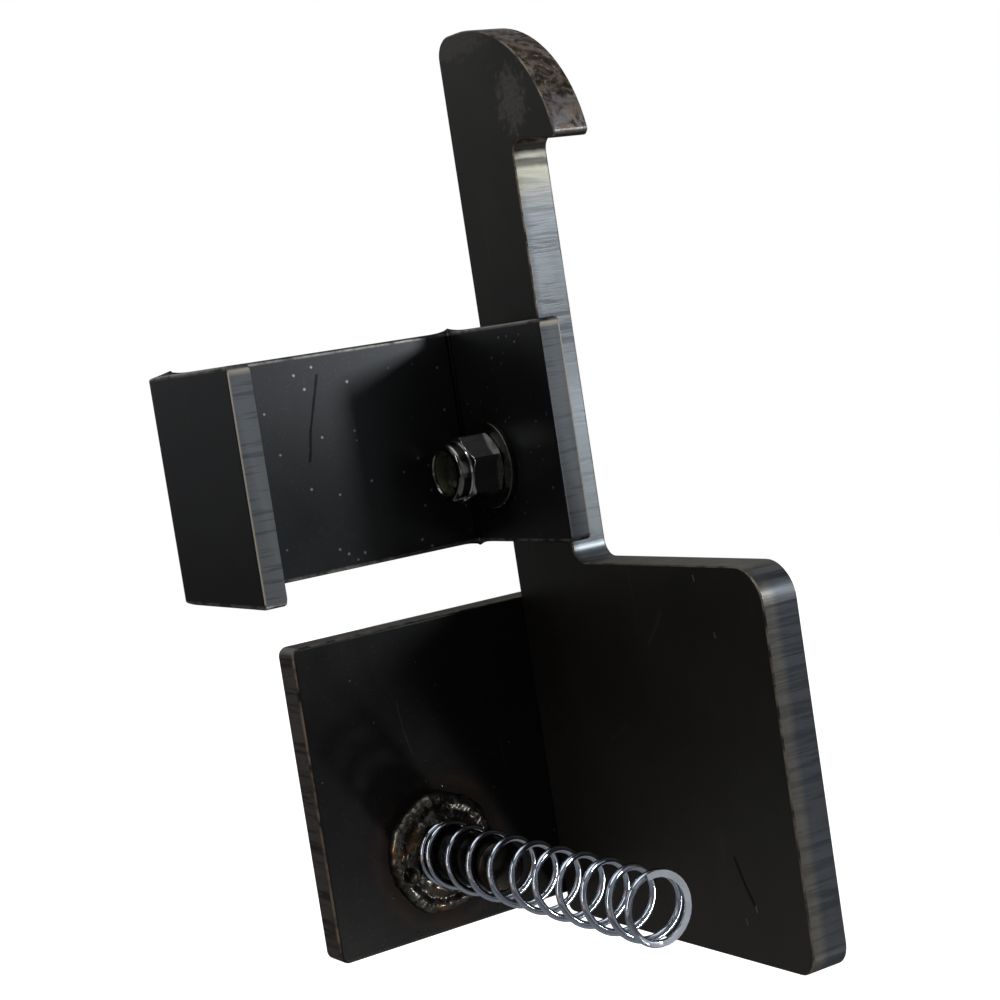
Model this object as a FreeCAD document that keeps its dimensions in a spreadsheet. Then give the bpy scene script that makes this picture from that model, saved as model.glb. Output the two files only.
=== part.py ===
"""Stair gate latch: a hook lever on a pivot bolt, with a push plate, a return spring and a U bracket.

The frame is in millimetres, +Z up. The origin is the centre of the end face of the bracket's inner
flange, the flange beside the lever. +Y points out of that end face, towards the gate stile that the
bracket is fastened to, and +X runs along the pivot bolt, from the lever across the bracket.
"""
import FreeCAD, Part
import math
import os
import re

import Sketcher

doc = FreeCAD.newDocument("stair_gate_latch")

# ---------------------------------------------------------------------------------------------
# Sizes. Each line is one size that can be set by itself; the formulas below them follow.
# ---------------------------------------------------------------------------------------------
SIZES = [
    ("lever_thick", 9.5, "plate the hook lever is cut from"),
    ("bar_width", 26.0, "upright bar, back edge to front edge"),
    ("rise", 101.2, "pivot axis to the top of the hook"),
    ("fall", 113.3, "pivot axis to the bottom of the paddle"),
    ("hook_reach", 44.0, "back edge to the tip of the nose"),
    ("hook_depth", 30.1, "top of the hook to the tip of the nose"),
    ("hook_rake", 2.4, "how much the underside climbs from the nose to the throat"),
    ("crown_flat", 9.0, "back edge to where the ramp begins"),
    ("crown_round", 5.0, "corner between the back edge and the top"),
    ("nose_round", 1.4, "tip of the nose"),
    ("throat_round", 3.0, "inner corner of the catch"),
    ("paddle_width", 93.5, "back edge to the paddle's front edge"),
    ("paddle_height", 88.0, "bottom to the paddle's top edge"),
    ("paddle_round", 8.2, "upper front corner of the paddle"),
    ("toe_round", 5.2, "lower front corner of the paddle"),
    ("heel_round", 2.0, "lower back corner of the lever"),
    ("elbow_round", 4.0, "inner corner between the bar and the paddle"),
    ("lever_bevel", 0.35, "arris left on the cut edges"),
    ("push_reach", 63.1, "push plate beyond the lever's broad face"),
    ("push_thick", 7.9, "push plate thickness"),
    ("push_height", 74.8, "push plate height"),
    ("push_lift", 4.5, "push plate's bottom above the paddle's bottom"),
    ("push_round", 2.2, "corners of the push plate"),
    ("push_edge", 0.7, "rolled edge of the push plate"),
    ("seam_leg", 3.0, "weld between plate and lever, and how far the plate stops short of the rear face"),
    ("strip_thick", 5.2, "strip the bracket is bent from"),
    ("strip_width", 50.8, "strip width, the bracket's height"),
    ("bracket_span", 82.1, "outside width over the two flanges"),
    ("flange_length", 45.4, "web's back face to the flange ends"),
    ("bend_round", 1.1, "inside radius of the two bends"),
    ("flange_round", 1.2, "corners at the flange ends"),
    ("strip_edge", 0.5, "rolled edge of the strip"),
    ("pivot_below", 6.8, "bracket's mid-height to the pivot axis"),
    ("bolt_dia", 9.5, "pivot bolt shank"),
    ("bolt_proud", 0.4, "end of the bolt past the start of the locking ring"),
    ("washer_thick", 1.6, "plain washer under the nut"),
    ("spacer_length", 4.7, "sleeve between lever and bracket"),
    ("collar_wall", 1.1, "wall of the collar"),
    ("collar_lip", 0.9, "rim of the collar turned in over the locking ring"),
    ("insert_thick", 2.2, "locking ring in the collar"),
    ("coil_outer", 16.0, "spring outside diameter"),
    ("wire_dia", 1.6, "spring wire"),
    ("coil_pitch", 9.08, "pitch of the open coils"),
    ("open_coils", 8.8, "number of open coils"),
    ("closed_coils", 1.15, "nearly flat coils at each end"),
    ("wire_end_angle", 15.0, "where the free end of the wire stops, degrees from the top"),
    ("spring_across", 32.8, "lever's broad face to the spring's axis"),
    ("spring_up", 23.8, "paddle's bottom to the spring's axis"),
    ("stub_length", 28.0, "round stub, from the push plate"),
    ("stub_bevel", 1.0, "bevel at the stub's free end"),
    ("bead_spread", 7.0, "weld round the stub, beyond the spring"),
    ("bead_height", 3.2, "weld round the stub, where the spring sits"),
    ("axial_play", 0.1, "lever to bolt head and lever to sleeve"),
    ("running_clear", 0.06, "radial, lever on the bolt"),
    ("stub_clear", 0.4, "radial, stub in the spring"),
    ("washer_gap", 0.1, "nut washer to the start of the bend"),
    ("loose_clear", 0.25, "radial, washer, sleeve and flange on the bolt"),
    ("coil_gap", 0.15, "between touching coils, and coil to seat"),
]

# Sizes and positions that follow from those above. The fasteners keep the proportions of their
# standards, the nut's washer sits as deep in the channel as the bend lets it, and the hole for
# the pivot is in the middle of the bar.
FORMULAS = [
    ("washer_dia", "bolt_dia * 2.17"),
    ("spacer_dia", "bolt_dia * 2"),
    ("head_dia", "bolt_dia * 1.8"),
    ("head_height", "bolt_dia * 0.46"),
    ("head_round", "bolt_dia * 0.4"),
    ("socket_flats", "bolt_dia * 0.59"),
    ("socket_depth", "bolt_dia * 0.27"),
    ("hex_flats", "bolt_dia * 1.505"),
    ("hex_bevel_rim", "hex_flats * 0.485"),
    ("hex_outside", "hex_flats * 0.75"),
    ("nut_height", "bolt_dia * 1.25"),
    ("nut_hexagon", "bolt_dia * 0.885"),
    ("collar_dia", "bolt_dia * 1.45"),
    ("collar_mouth", "bolt_dia * 1.115"),
    ("collar_start", "nut_height - insert_thick - collar_lip"),
    ("collar_bore", "collar_dia - 2 * collar_wall"),
    ("thread_dia", "bolt_dia * 0.82"),
    ("thread_bevel", "bolt_dia * 0.09"),
    ("bolt_grip", "head_to_nut + collar_start + bolt_proud"),
    ("head_to_nut", "washer_thick + 2 * axial_play + lever_thick + spacer_length + strip_thick"),
    ("pivot_back", "flange_length - strip_thick - bend_round - washer_gap - washer_dia / 2"),
    ("bar_margin", "bar_width / 2"),
    ("push_lap", "lever_thick - seam_leg"),
    ("seam_length", "push_height * 0.32"),
    ("seam_pitch", "push_height * 0.56"),
    ("stub_dia", "coil_outer - 2 * wire_dia - 2 * stub_clear"),
    ("bead_radius", "coil_outer / 2 + bead_spread"),
    ("pivot_y", "-pivot_back"),
    ("pivot_z", "-pivot_below"),
    ("back_y", "pivot_y - bar_margin"),
    ("floor_z", "pivot_z - fall"),
    ("crown_z", "pivot_z + rise"),
    ("inner_x", "-strip_thick / 2"),
    ("face_x", "inner_x - spacer_length - axial_play"),
    ("rear_x", "face_x - lever_thick"),
    ("head_x", "rear_x - axial_play"),
    ("seat_x", "strip_thick / 2"),
    ("nut_x", "seat_x + washer_thick"),
    ("spring_x", "face_x + spring_across"),
    ("spring_z", "floor_z + spring_up"),
    ("spring_y", "back_y + bead_height + coil_gap"),
]

sheet = doc.addObject("Spreadsheet::Sheet", "Sizes")
for row, (alias, value, meaning) in enumerate(SIZES, start=1):
    sheet.set(f"A{row}", meaning)
    sheet.set(f"B{row}", str(value))
    sheet.setAlias(f"B{row}", alias)
for row, (alias, formula) in enumerate(FORMULAS, start=len(SIZES) + 1):
    sheet.set(f"B{row}", "=" + formula)
    sheet.setAlias(f"B{row}", alias)
doc.recompute()

ALIASES = {alias for alias, *_ in SIZES + FORMULAS}


def bound(text):
    """The formula with each size name pointing at its cell."""
    return re.sub(r"[a-z][a-z_]+", lambda word: f"Sizes.{word[0]}" if word[0] in ALIASES else word[0], text)


def number(text):
    """What the formula comes to now."""
    return float(sheet.evalExpression(bound(text)))


# ---------------------------------------------------------------------------------------------
# Sketches and features
# ---------------------------------------------------------------------------------------------
ALONG_X = FreeCAD.Vector(1, 0, 0)
ALONG_Y = FreeCAD.Vector(0, 1, 0)
ALONG_Z = FreeCAD.Vector(0, 0, 1)


def new_body(label):
    body = doc.addObject("PartDesign::Body", label)
    body.Label = label
    body.Placement = FreeCAD.Placement()
    return body


def sketch_on(body, plane, across="0", up="0", out="0"):
    """A sketch on one of the body's own planes, with its origin moved by three formulas."""
    sketch = body.newObject("Sketcher::SketchObject", body.Label + "_sketch")
    role = next(item for item in body.Origin.OriginFeatures if item.Role == plane)
    sketch.AttachmentSupport = [(role, "")]
    sketch.MapMode = "FlatFace"
    for axis, formula in (("x", across), ("y", up), ("z", out)):
        sketch.setExpression(f"AttachmentOffset.Base.{axis}", f"({bound(formula)}) * 1 mm")
    return sketch


def pin(sketch, kind, geometry, point, formula):
    """Hold a point of the sketch at a formula, along the sketch's X or Y."""
    index = sketch.addConstraint(
        Sketcher.Constraint(kind, -1, 1, geometry, point, number(formula)))
    sketch.setExpression(f"Constraints[{index}]", f"({bound(formula)}) * 1 mm")


def pin_point(sketch, geometry, point, across, up):
    pin(sketch, "DistanceX", geometry, point, across)
    pin(sketch, "DistanceY", geometry, point, up)


def polygon(sketch, corners):
    """A closed outline of straight sides with its corners held at formulas."""
    spots = [FreeCAD.Vector(number(across), number(up), 0) for across, up in corners]
    count = len(spots)
    for index in range(count):
        sketch.addGeometry(Part.LineSegment(spots[index], spots[(index + 1) % count]), False)
    for index in range(count):
        sketch.addConstraint(Sketcher.Constraint("Coincident", index, 2, (index + 1) % count, 1))
    for index, (across, up) in enumerate(corners):
        pin_point(sketch, index, 1, across, up)


def circle(sketch, diameter):
    """A circle about the sketch's origin."""
    whole = Part.Circle(FreeCAD.Vector(0, 0, 0), ALONG_Z, number(diameter) / 2)
    index = sketch.addGeometry(whole, False)
    sketch.addConstraint(Sketcher.Constraint("Coincident", index, 3, -1, 1))
    size = sketch.addConstraint(Sketcher.Constraint("Diameter", index, number(diameter)))
    sketch.setExpression(f"Constraints[{size}]", f"({bound(diameter)}) * 1 mm")


def pad(body, sketch, length, middle=False, backwards=False):
    """Thicken the sketch, on both sides of its plane if middle is true."""
    feature = body.newObject("PartDesign::Pad", body.Label + "_pad")
    feature.Profile = sketch
    feature.setExpression("Length", f"({bound(length)}) * 1 mm")
    feature.Midplane = middle
    feature.Reversed = backwards
    doc.recompute()
    return feature


def pocket(body, sketch, length):
    """Cut the sketch out on both sides of its plane, and make sure that something went."""
    before = body.Shape.Volume
    feature = body.newObject("PartDesign::Pocket", body.Label + "_cut")
    feature.Profile = sketch
    feature.setExpression("Length", f"({bound(length)}) * 1 mm")
    feature.Midplane = True
    body.Tip = feature
    doc.recompute()
    if body.Shape.Volume >= before:
        raise RuntimeError(f"{body.Label}: the cut removed nothing")
    return feature


def turned(body, sketch, axis, groove=False):
    """Turn the sketch about its own H or V axis, to add material or to cut it away."""
    before = body.Shape.Volume if groove else 0.0
    kind = "Groove" if groove else "Revolution"
    feature = body.newObject(f"PartDesign::{kind}", f"{body.Label}_{kind.lower()}")
    feature.Profile = sketch
    feature.ReferenceAxis = (sketch, [axis])
    feature.Angle = 360.0
    body.Tip = feature
    doc.recompute()
    if groove and body.Shape.Volume >= before:
        raise RuntimeError(f"{body.Label}: the groove removed nothing")
    return feature


def edges_along(shape, direction, **where):
    """Names of the straight edges along a direction whose middles have the given coordinates."""
    found = []
    for index, edge in enumerate(shape.Edges, start=1):
        if not isinstance(edge.Curve, Part.Line):
            continue
        if abs(abs(edge.Curve.Direction.dot(direction)) - 1) > 1e-6:
            continue
        middle = (edge.Vertexes[0].Point + edge.Vertexes[1].Point) * 0.5
        if all(abs(getattr(middle, name) - value) < 1e-4 for name, value in where.items()):
            found.append(f"Edge{index}")
    if not found:
        raise RuntimeError(f"no edge at {where}")
    return found


def faces_across(shape, direction, level):
    """Names of the flat faces square to a direction, at the given distance along it."""
    found = []
    for index, face in enumerate(shape.Faces, start=1):
        if not isinstance(face.Surface, Part.Plane):
            continue
        square = abs(face.normalAt(0, 0).dot(direction)) > 0.999
        if square and abs(face.CenterOfMass.dot(direction) - level) < 1e-4:
            found.append(f"Face{index}")
    if not found:
        raise RuntimeError(f"no face at {level}")
    return found


def eased(body, names, size, kind="Fillet"):
    """Round or bevel the named edges, or all edges of the named faces."""
    base = body.Tip
    feature = body.newObject(f"PartDesign::{kind}", f"{body.Label}_{kind.lower()}")
    feature.Base = (base, names)
    size_name = "Radius" if kind == "Fillet" else "Size"
    feature.setExpression(size_name, f"({bound(size)}) * 1 mm")
    body.Tip = feature
    doc.recompute()
    return feature


# ---------------------------------------------------------------------------------------------
# Hook lever: one cut plate with the hook at the top, the bar and the wide paddle at the bottom.
# ---------------------------------------------------------------------------------------------
lever = new_body("hook_lever")
outline = sketch_on(lever, "YZ_Plane", out="face_x")
LEVER_CORNERS = [
    ("back_y", "floor_z"),
    ("back_y + paddle_width", "floor_z"),
    ("back_y + paddle_width", "floor_z + paddle_height"),
    ("back_y + bar_width", "floor_z + paddle_height"),
    ("back_y + bar_width", "crown_z - hook_depth + hook_rake"),
    ("back_y + hook_reach", "crown_z - hook_depth"),
    ("back_y + crown_flat", "crown_z"),
    ("back_y", "crown_z"),
]
spots = [FreeCAD.Vector(number(across), number(up), 0) for across, up in LEVER_CORNERS]
sides = len(spots)
RAMP = 5  # the side from the nose to the crown, an arc that runs smoothly into the flat top
reach = spots[RAMP].x - spots[RAMP + 1].x
depth = spots[RAMP + 1].y - spots[RAMP].y
ramp_radius = (reach ** 2 + depth ** 2) / (2 * depth)
ramp_centre = spots[RAMP + 1] - FreeCAD.Vector(0, ramp_radius, 0)
for side, spot in enumerate(spots):
    if side == RAMP:
        start = math.atan2(spot.y - ramp_centre.y, spot.x - ramp_centre.x)
        whole = Part.Circle(ramp_centre, ALONG_Z, ramp_radius)
        outline.addGeometry(Part.ArcOfCircle(whole, start, math.pi / 2), False)
    else:
        outline.addGeometry(Part.LineSegment(spot, spots[(side + 1) % sides]), False)
for side, (across, up) in enumerate(LEVER_CORNERS):
    outline.addConstraint(Sketcher.Constraint("Coincident", side, 2, (side + 1) % sides, 1))
    pin_point(outline, side, 1, across, up)
pin(outline, "DistanceX", RAMP, 3, "back_y + crown_flat")
pad(lever, outline, "lever_thick", backwards=True)

hole = sketch_on(lever, "YZ_Plane", "pivot_y", "pivot_z", "face_x")
circle(hole, "bolt_dia + 2 * running_clear")
pocket(lever, hole, "lever_thick * 4")

LEVER_ROUNDS = [
    (0, "heel_round"),
    (1, "toe_round"),
    (2, "paddle_round"),
    (3, "elbow_round"),
    (4, "throat_round"),
    (5, "nose_round"),
    (7, "crown_round"),
]
for corner, radius in LEVER_ROUNDS:
    spot = spots[corner]
    eased(lever, edges_along(lever.Shape, ALONG_X, y=spot.x, z=spot.y), radius)
for level in ("face_x", "rear_x"):
    eased(lever, faces_across(lever.Shape, ALONG_X, number(level)), "lever_bevel", "Chamfer")

# ---------------------------------------------------------------------------------------------
# Push plate: set square against the lever's back edge, with two stitches of weld on the far side.
# ---------------------------------------------------------------------------------------------
push = new_body("push_plate")
push_floor = "floor_z + push_lift"
outline = sketch_on(push, "XZ_Plane", "face_x", push_floor, "-back_y")
polygon(outline, [
    ("-push_lap", "0"),
    ("push_reach", "0"),
    ("push_reach", "push_height"),
    ("-push_lap", "push_height"),
])
pad(push, outline, "push_thick")
for side in ("face_x - push_lap", "face_x + push_reach"):
    for level in (push_floor, push_floor + " + push_height"):
        eased(push, edges_along(push.Shape, ALONG_Y, x=number(side), z=number(level)), "push_round")
for level in ("back_y", "back_y - push_thick"):
    eased(push, faces_across(push.Shape, ALONG_Y, number(level)), "push_edge")

# Outline of a stitch in shares of its leg, outwards along the lever and up the plate's edge.
SEAM_PROFILE = [(0.9, 0.0), (0.8, 0.5), (0.5, 0.8), (0.0, 0.9)]
push_middle = push_floor + " + push_height / 2"
for label, shift in (("seam_weld_upper", " + seam_pitch / 2"), ("seam_weld_lower", " - seam_pitch / 2")):
    seam = new_body(label)
    outline = sketch_on(seam, "XY_Plane", "face_x - push_lap", "back_y", push_middle + shift)
    polygon(outline, [("0", "0")] + [
        (f"-seam_leg * {across}", f"-seam_leg * {up}") for across, up in SEAM_PROFILE])
    pad(seam, outline, "seam_length", middle=True)

# ---------------------------------------------------------------------------------------------
# Mount bracket: a strip bent to a U. Its flange ends go against the gate stile.
# ---------------------------------------------------------------------------------------------
bracket = new_body("mount_bracket")
outline = sketch_on(bracket, "XY_Plane", "-strip_thick / 2", "-flange_length")
polygon(outline, [
    ("0", "0"),
    ("bracket_span", "0"),
    ("bracket_span", "flange_length"),
    ("bracket_span - strip_thick", "flange_length"),
    ("bracket_span - strip_thick", "strip_thick"),
    ("strip_thick", "strip_thick"),
    ("strip_thick", "flange_length"),
    ("0", "flange_length"),
])
pad(bracket, outline, "strip_width", middle=True)
thick = number("strip_thick")
web_back = number("-flange_length")
for side, inward in (("-strip_thick / 2", thick), ("bracket_span - strip_thick / 2", -thick)):
    corner = number(side)
    inner = edges_along(bracket.Shape, ALONG_Z, x=corner + inward, y=web_back + thick)
    eased(bracket, inner, "bend_round")
    outer = edges_along(bracket.Shape, ALONG_Z, x=corner, y=web_back)
    eased(bracket, outer, "bend_round + strip_thick")
for level in (number("strip_width / 2"), number("-strip_width / 2")):
    eased(bracket, edges_along(bracket.Shape, ALONG_X, y=0.0, z=level), "flange_round")
for level in (number("strip_width / 2"), number("-strip_width / 2")):
    eased(bracket, faces_across(bracket.Shape, ALONG_Z, level), "strip_edge", "Chamfer")
hole = sketch_on(bracket, "YZ_Plane", "pivot_y", "pivot_z")
circle(hole, "bolt_dia + 2 * loose_clear")
pocket(bracket, hole, "strip_thick * 3")


# ---------------------------------------------------------------------------------------------
# Pivot: bolt, sleeve, washer, lock nut and its locking ring.
# ---------------------------------------------------------------------------------------------
NUT_TURN = -13.0  # degrees from two corners straight up and down to where the nut came tight


def hexagon(sketch, flats, turn=0.0):
    """A hexagon about the sketch's origin, turned from two corners straight up and down."""
    corners = []
    for step in range(6):
        angle = math.radians(60 * step + 90 + turn)
        size = f"{flats} / 2 / {math.cos(math.radians(30)):.6f}"
        corners.append((f"{size} * {math.cos(angle):.6f}", f"{size} * {math.sin(angle):.6f}"))
    polygon(sketch, corners)


def ring(label, start, length, bore, outer):
    """A plain ring about the pivot axis."""
    body = new_body(label)
    outline = sketch_on(body, "YZ_Plane", "pivot_y", "pivot_z", start)
    circle(outline, bore)
    circle(outline, outer)
    pad(body, outline, length)
    return body


def hexagon_chamfer(body, flat_face, outward):
    """Turn the hexagon's corners off at 30 degrees at one end; outward is 1 or -1 along X."""
    cut = sketch_on(body, "XZ_Plane", flat_face, "pivot_z", "-pivot_y")
    slope = f"(hex_outside - hex_bevel_rim) * {math.tan(math.radians(30)):.6f}"
    polygon(cut, [
        ("0", "hex_bevel_rim"),
        (f"{-outward} * {slope}", "hex_outside"),
        (f"{outward}", "hex_outside"),
        (f"{outward}", "hex_bevel_rim"),
    ])
    turned(body, cut, "H_Axis", groove=True)


# A low round head with a hexagon socket.
bolt = new_body("pivot_bolt")
outline = sketch_on(bolt, "XZ_Plane", "head_x", "pivot_z", "-pivot_y")
polygon(outline, [
    ("-head_height", "0"),
    ("bolt_grip", "0"),
    ("bolt_grip", "thread_dia / 2"),
    ("bolt_grip - thread_bevel", "bolt_dia / 2"),
    ("0", "bolt_dia / 2"),
    ("0", "head_dia / 2"),
    ("-head_height", "head_dia / 2"),
])
turned(bolt, outline, "H_Axis")
eased(bolt, faces_across(bolt.Shape, ALONG_X, number("head_x - head_height")), "head_round")
socket = sketch_on(bolt, "YZ_Plane", "pivot_y", "pivot_z", "head_x - head_height")
hexagon(socket, "socket_flats")
pocket(bolt, socket, "2 * socket_depth")

loose_bore = "bolt_dia + 2 * loose_clear"
ring("pivot_spacer", "inner_x - spacer_length", "spacer_length", loose_bore, "spacer_dia")
ring("nut_washer", "seat_x", "washer_thick", loose_bore, "washer_dia")

nut = new_body("lock_nut")
outline = sketch_on(nut, "YZ_Plane", "pivot_y", "pivot_z", "nut_x")
hexagon(outline, "hex_flats", NUT_TURN)
pad(nut, outline, "nut_hexagon")
hexagon_chamfer(nut, "nut_x + nut_hexagon", 1)
hexagon_chamfer(nut, "nut_x", -1)
outline = sketch_on(nut, "XZ_Plane", "nut_x", "pivot_z", "-pivot_y")
polygon(outline, [
    ("nut_hexagon / 2", "bolt_dia / 2 + loose_clear"),
    ("collar_start", "bolt_dia / 2 + loose_clear"),
    ("collar_start", "collar_bore / 2"),
    ("collar_start + insert_thick", "collar_bore / 2"),
    ("collar_start + insert_thick", "collar_mouth / 2"),
    ("nut_height", "collar_mouth / 2"),
    ("nut_height", "collar_dia / 2 - collar_lip"),
    ("nut_height - collar_lip", "collar_dia / 2"),
    ("nut_hexagon / 2", "collar_dia / 2"),
])
turned(nut, outline, "H_Axis")
bore = sketch_on(nut, "YZ_Plane", "pivot_y", "pivot_z", "nut_x")
circle(bore, "bolt_dia + 2 * running_clear")
pocket(nut, bore, "2 * collar_start")

ring("nut_insert", "nut_x + collar_start", "insert_thick", "bolt_dia + 2 * running_clear", "collar_bore")

# ---------------------------------------------------------------------------------------------
# Spring, the stub that it sits over and the weld round the stub.
# ---------------------------------------------------------------------------------------------
stub = new_body("spring_stub")
outline = sketch_on(stub, "XY_Plane", "spring_x", "back_y", "spring_z")
polygon(outline, [
    ("0", "0"),
    ("stub_dia / 2", "0"),
    ("stub_dia / 2", "stub_length - stub_bevel"),
    ("stub_dia / 2 - stub_bevel", "stub_length"),
    ("0", "stub_length"),
])
turned(stub, outline, "V_Axis")

# Outline of the bead from its toe inwards, in shares of its radius and its height.
BEAD_PROFILE = [(1.0, 0.0), (0.93, 0.55), (0.8, 0.92), (0.7, 1.0)]
bead = new_body("stub_weld")
outline = sketch_on(bead, "XY_Plane", "spring_x", "back_y", "spring_z")
polygon(outline, [("stub_dia / 2", "0")] + [
    (f"bead_radius * {across}", f"bead_height * {up}") for across, up in BEAD_PROFILE
] + [("stub_dia / 2", "bead_height")])
turned(bead, outline, "V_Axis")

# The wire's centre line climbs slowly through the closed coils, then at the full pitch. It turns
# right-handed about +Y and both ends are ground square.
wire_radius = number("wire_dia / 2")
coil_radius = number("(coil_outer - wire_dia) / 2")
open_pitch = number("coil_pitch")
flat_pitch = number("wire_dia + coil_gap")
closed = number("closed_coils")
turns = number("open_coils") + 2 * closed
start_angle = math.radians(number("wire_end_angle")) - 2 * math.pi * turns
EASING = 0.25  # turns over which the pitch changes, before and after each closed coil ends
POINTS_PER_TURN = 12


def open_turns_so_far(turn):
    """Turns at the open pitch up to this one, with the change of pitch spread out smoothly."""
    def ramp(distance):
        if distance <= -EASING:
            return 0.0
        if distance >= EASING:
            return distance
        return (distance + EASING) ** 2 / (4 * EASING)
    return ramp(turn - closed) - ramp(turn - (turns - closed))


def height_at(turn):
    """Height of the wire's centre above the spring's seat."""
    return wire_radius / 2 + flat_pitch * turn + (open_pitch - flat_pitch) * open_turns_so_far(turn)


seat = FreeCAD.Vector(number("spring_x"), number("spring_y"), number("spring_z"))
centres = []
for index in range(math.ceil(turns * POINTS_PER_TURN) + 1):
    turn = min(index / POINTS_PER_TURN, turns)
    angle = start_angle + 2 * math.pi * turn
    centres.append(seat + FreeCAD.Vector(
        coil_radius * math.sin(angle), height_at(turn), coil_radius * math.cos(angle)))
curve = Part.BSplineCurve()
curve.interpolate(centres)
wire_path = doc.addObject("Part::Feature", "spring_path")
wire_path.Shape = Part.Wire([curve.toShape()])

section = doc.addObject("Part::Circle", "spring_section")
section.setExpression("Radius", bound("wire_dia / 2") + " * 1 mm")
section.Placement = FreeCAD.Placement(
    centres[0], FreeCAD.Rotation(ALONG_Z, curve.tangent(curve.FirstParameter)[0]))
coil = doc.addObject("Part::Sweep", "spring_coil")
coil.Sections = [section]
coil.Spine = (wire_path, ["Edge1"])
coil.Solid = True
coil.Frenet = True
ground = doc.addObject("Part::Cylinder", "spring_ground_length")
ground.setExpression("Radius", bound("coil_outer") + " * 1 mm")
ground.Height = height_at(turns) + wire_radius / 2
ground.Placement = FreeCAD.Placement(seat, FreeCAD.Rotation(ALONG_Z, ALONG_Y))
spring = doc.addObject("Part::Common", "return_spring")
spring.Base = coil
spring.Tool = ground
spring.Label = "return_spring"
doc.recompute()

if abs(coil.Shape.Volume / (curve.length() * math.pi * wire_radius ** 2) - 1) > 0.02:
    raise RuntimeError("the spring's volume does not match its wire")

# ---------------------------------------------------------------------------------------------
# Check and write every piece.
# ---------------------------------------------------------------------------------------------
for item in doc.Objects:
    if "Invalid" in item.State or "Error" in item.State:
        raise RuntimeError(f"{item.Label} did not compute: {item.State}")

pieces = [item for item in doc.Objects if item.TypeId == "PartDesign::Body"] + [spring]
os.makedirs("parts", exist_ok=True)
for piece in pieces:
    shape = piece.Shape
    if shape.isNull() or not shape.isValid() or len(shape.Solids) != 1:
        raise RuntimeError(f"{piece.Label} is not one sound solid")
    shape.exportStep(f"parts/{piece.Label}.step")
    print(f"{piece.Label}: {shape.Volume:.0f} mm3")
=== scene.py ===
"""Looks of the stair gate latch: a hook lever on a bent bracket, with its push plate and spring.

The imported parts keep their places. This script gives them their finishes, puts rounder or
rougher shapes over the ones that need it, and sets up the light, the floor and the camera.
"""

import logging
import math
from dataclasses import dataclass, field
from enum import Enum
from typing import Sequence, Union

import bmesh
import bpy
from mathutils import Matrix, Vector, noise


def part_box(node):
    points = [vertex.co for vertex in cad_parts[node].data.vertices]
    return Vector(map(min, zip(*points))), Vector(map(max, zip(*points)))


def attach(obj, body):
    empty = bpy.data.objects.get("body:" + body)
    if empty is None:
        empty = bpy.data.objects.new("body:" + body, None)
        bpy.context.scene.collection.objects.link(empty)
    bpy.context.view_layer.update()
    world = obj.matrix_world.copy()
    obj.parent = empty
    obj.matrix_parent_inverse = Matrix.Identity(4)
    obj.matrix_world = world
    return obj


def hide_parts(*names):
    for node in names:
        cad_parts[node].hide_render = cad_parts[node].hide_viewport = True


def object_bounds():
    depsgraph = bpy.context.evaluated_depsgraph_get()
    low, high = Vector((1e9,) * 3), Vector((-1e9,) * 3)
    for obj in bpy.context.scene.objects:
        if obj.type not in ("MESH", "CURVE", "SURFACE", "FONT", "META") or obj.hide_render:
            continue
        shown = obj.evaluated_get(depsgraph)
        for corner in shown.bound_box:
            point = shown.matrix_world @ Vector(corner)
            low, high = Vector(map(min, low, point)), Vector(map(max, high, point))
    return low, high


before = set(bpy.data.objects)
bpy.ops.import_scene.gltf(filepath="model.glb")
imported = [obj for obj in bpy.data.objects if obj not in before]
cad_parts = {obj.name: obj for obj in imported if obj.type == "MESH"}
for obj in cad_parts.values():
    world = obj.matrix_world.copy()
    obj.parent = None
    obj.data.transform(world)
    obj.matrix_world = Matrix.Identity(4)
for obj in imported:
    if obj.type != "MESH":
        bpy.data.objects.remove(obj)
CAD_BOX = [list(corner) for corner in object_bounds()]

LOG = logging.getLogger("stair_gate_latch")
MM = 0.001
Socket = bpy.types.NodeSocket
Number = Union[float, Socket]
Colour = tuple[float, float, float]


class Axis(Enum):
    """One of the frame's three directions, by its place in a point."""

    X = 0
    Y = 1
    Z = 2


class Body(Enum):
    """The bodies of the latch that pieces ride on."""

    BRACKET = "bracket"
    LEVER = "lever"


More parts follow.
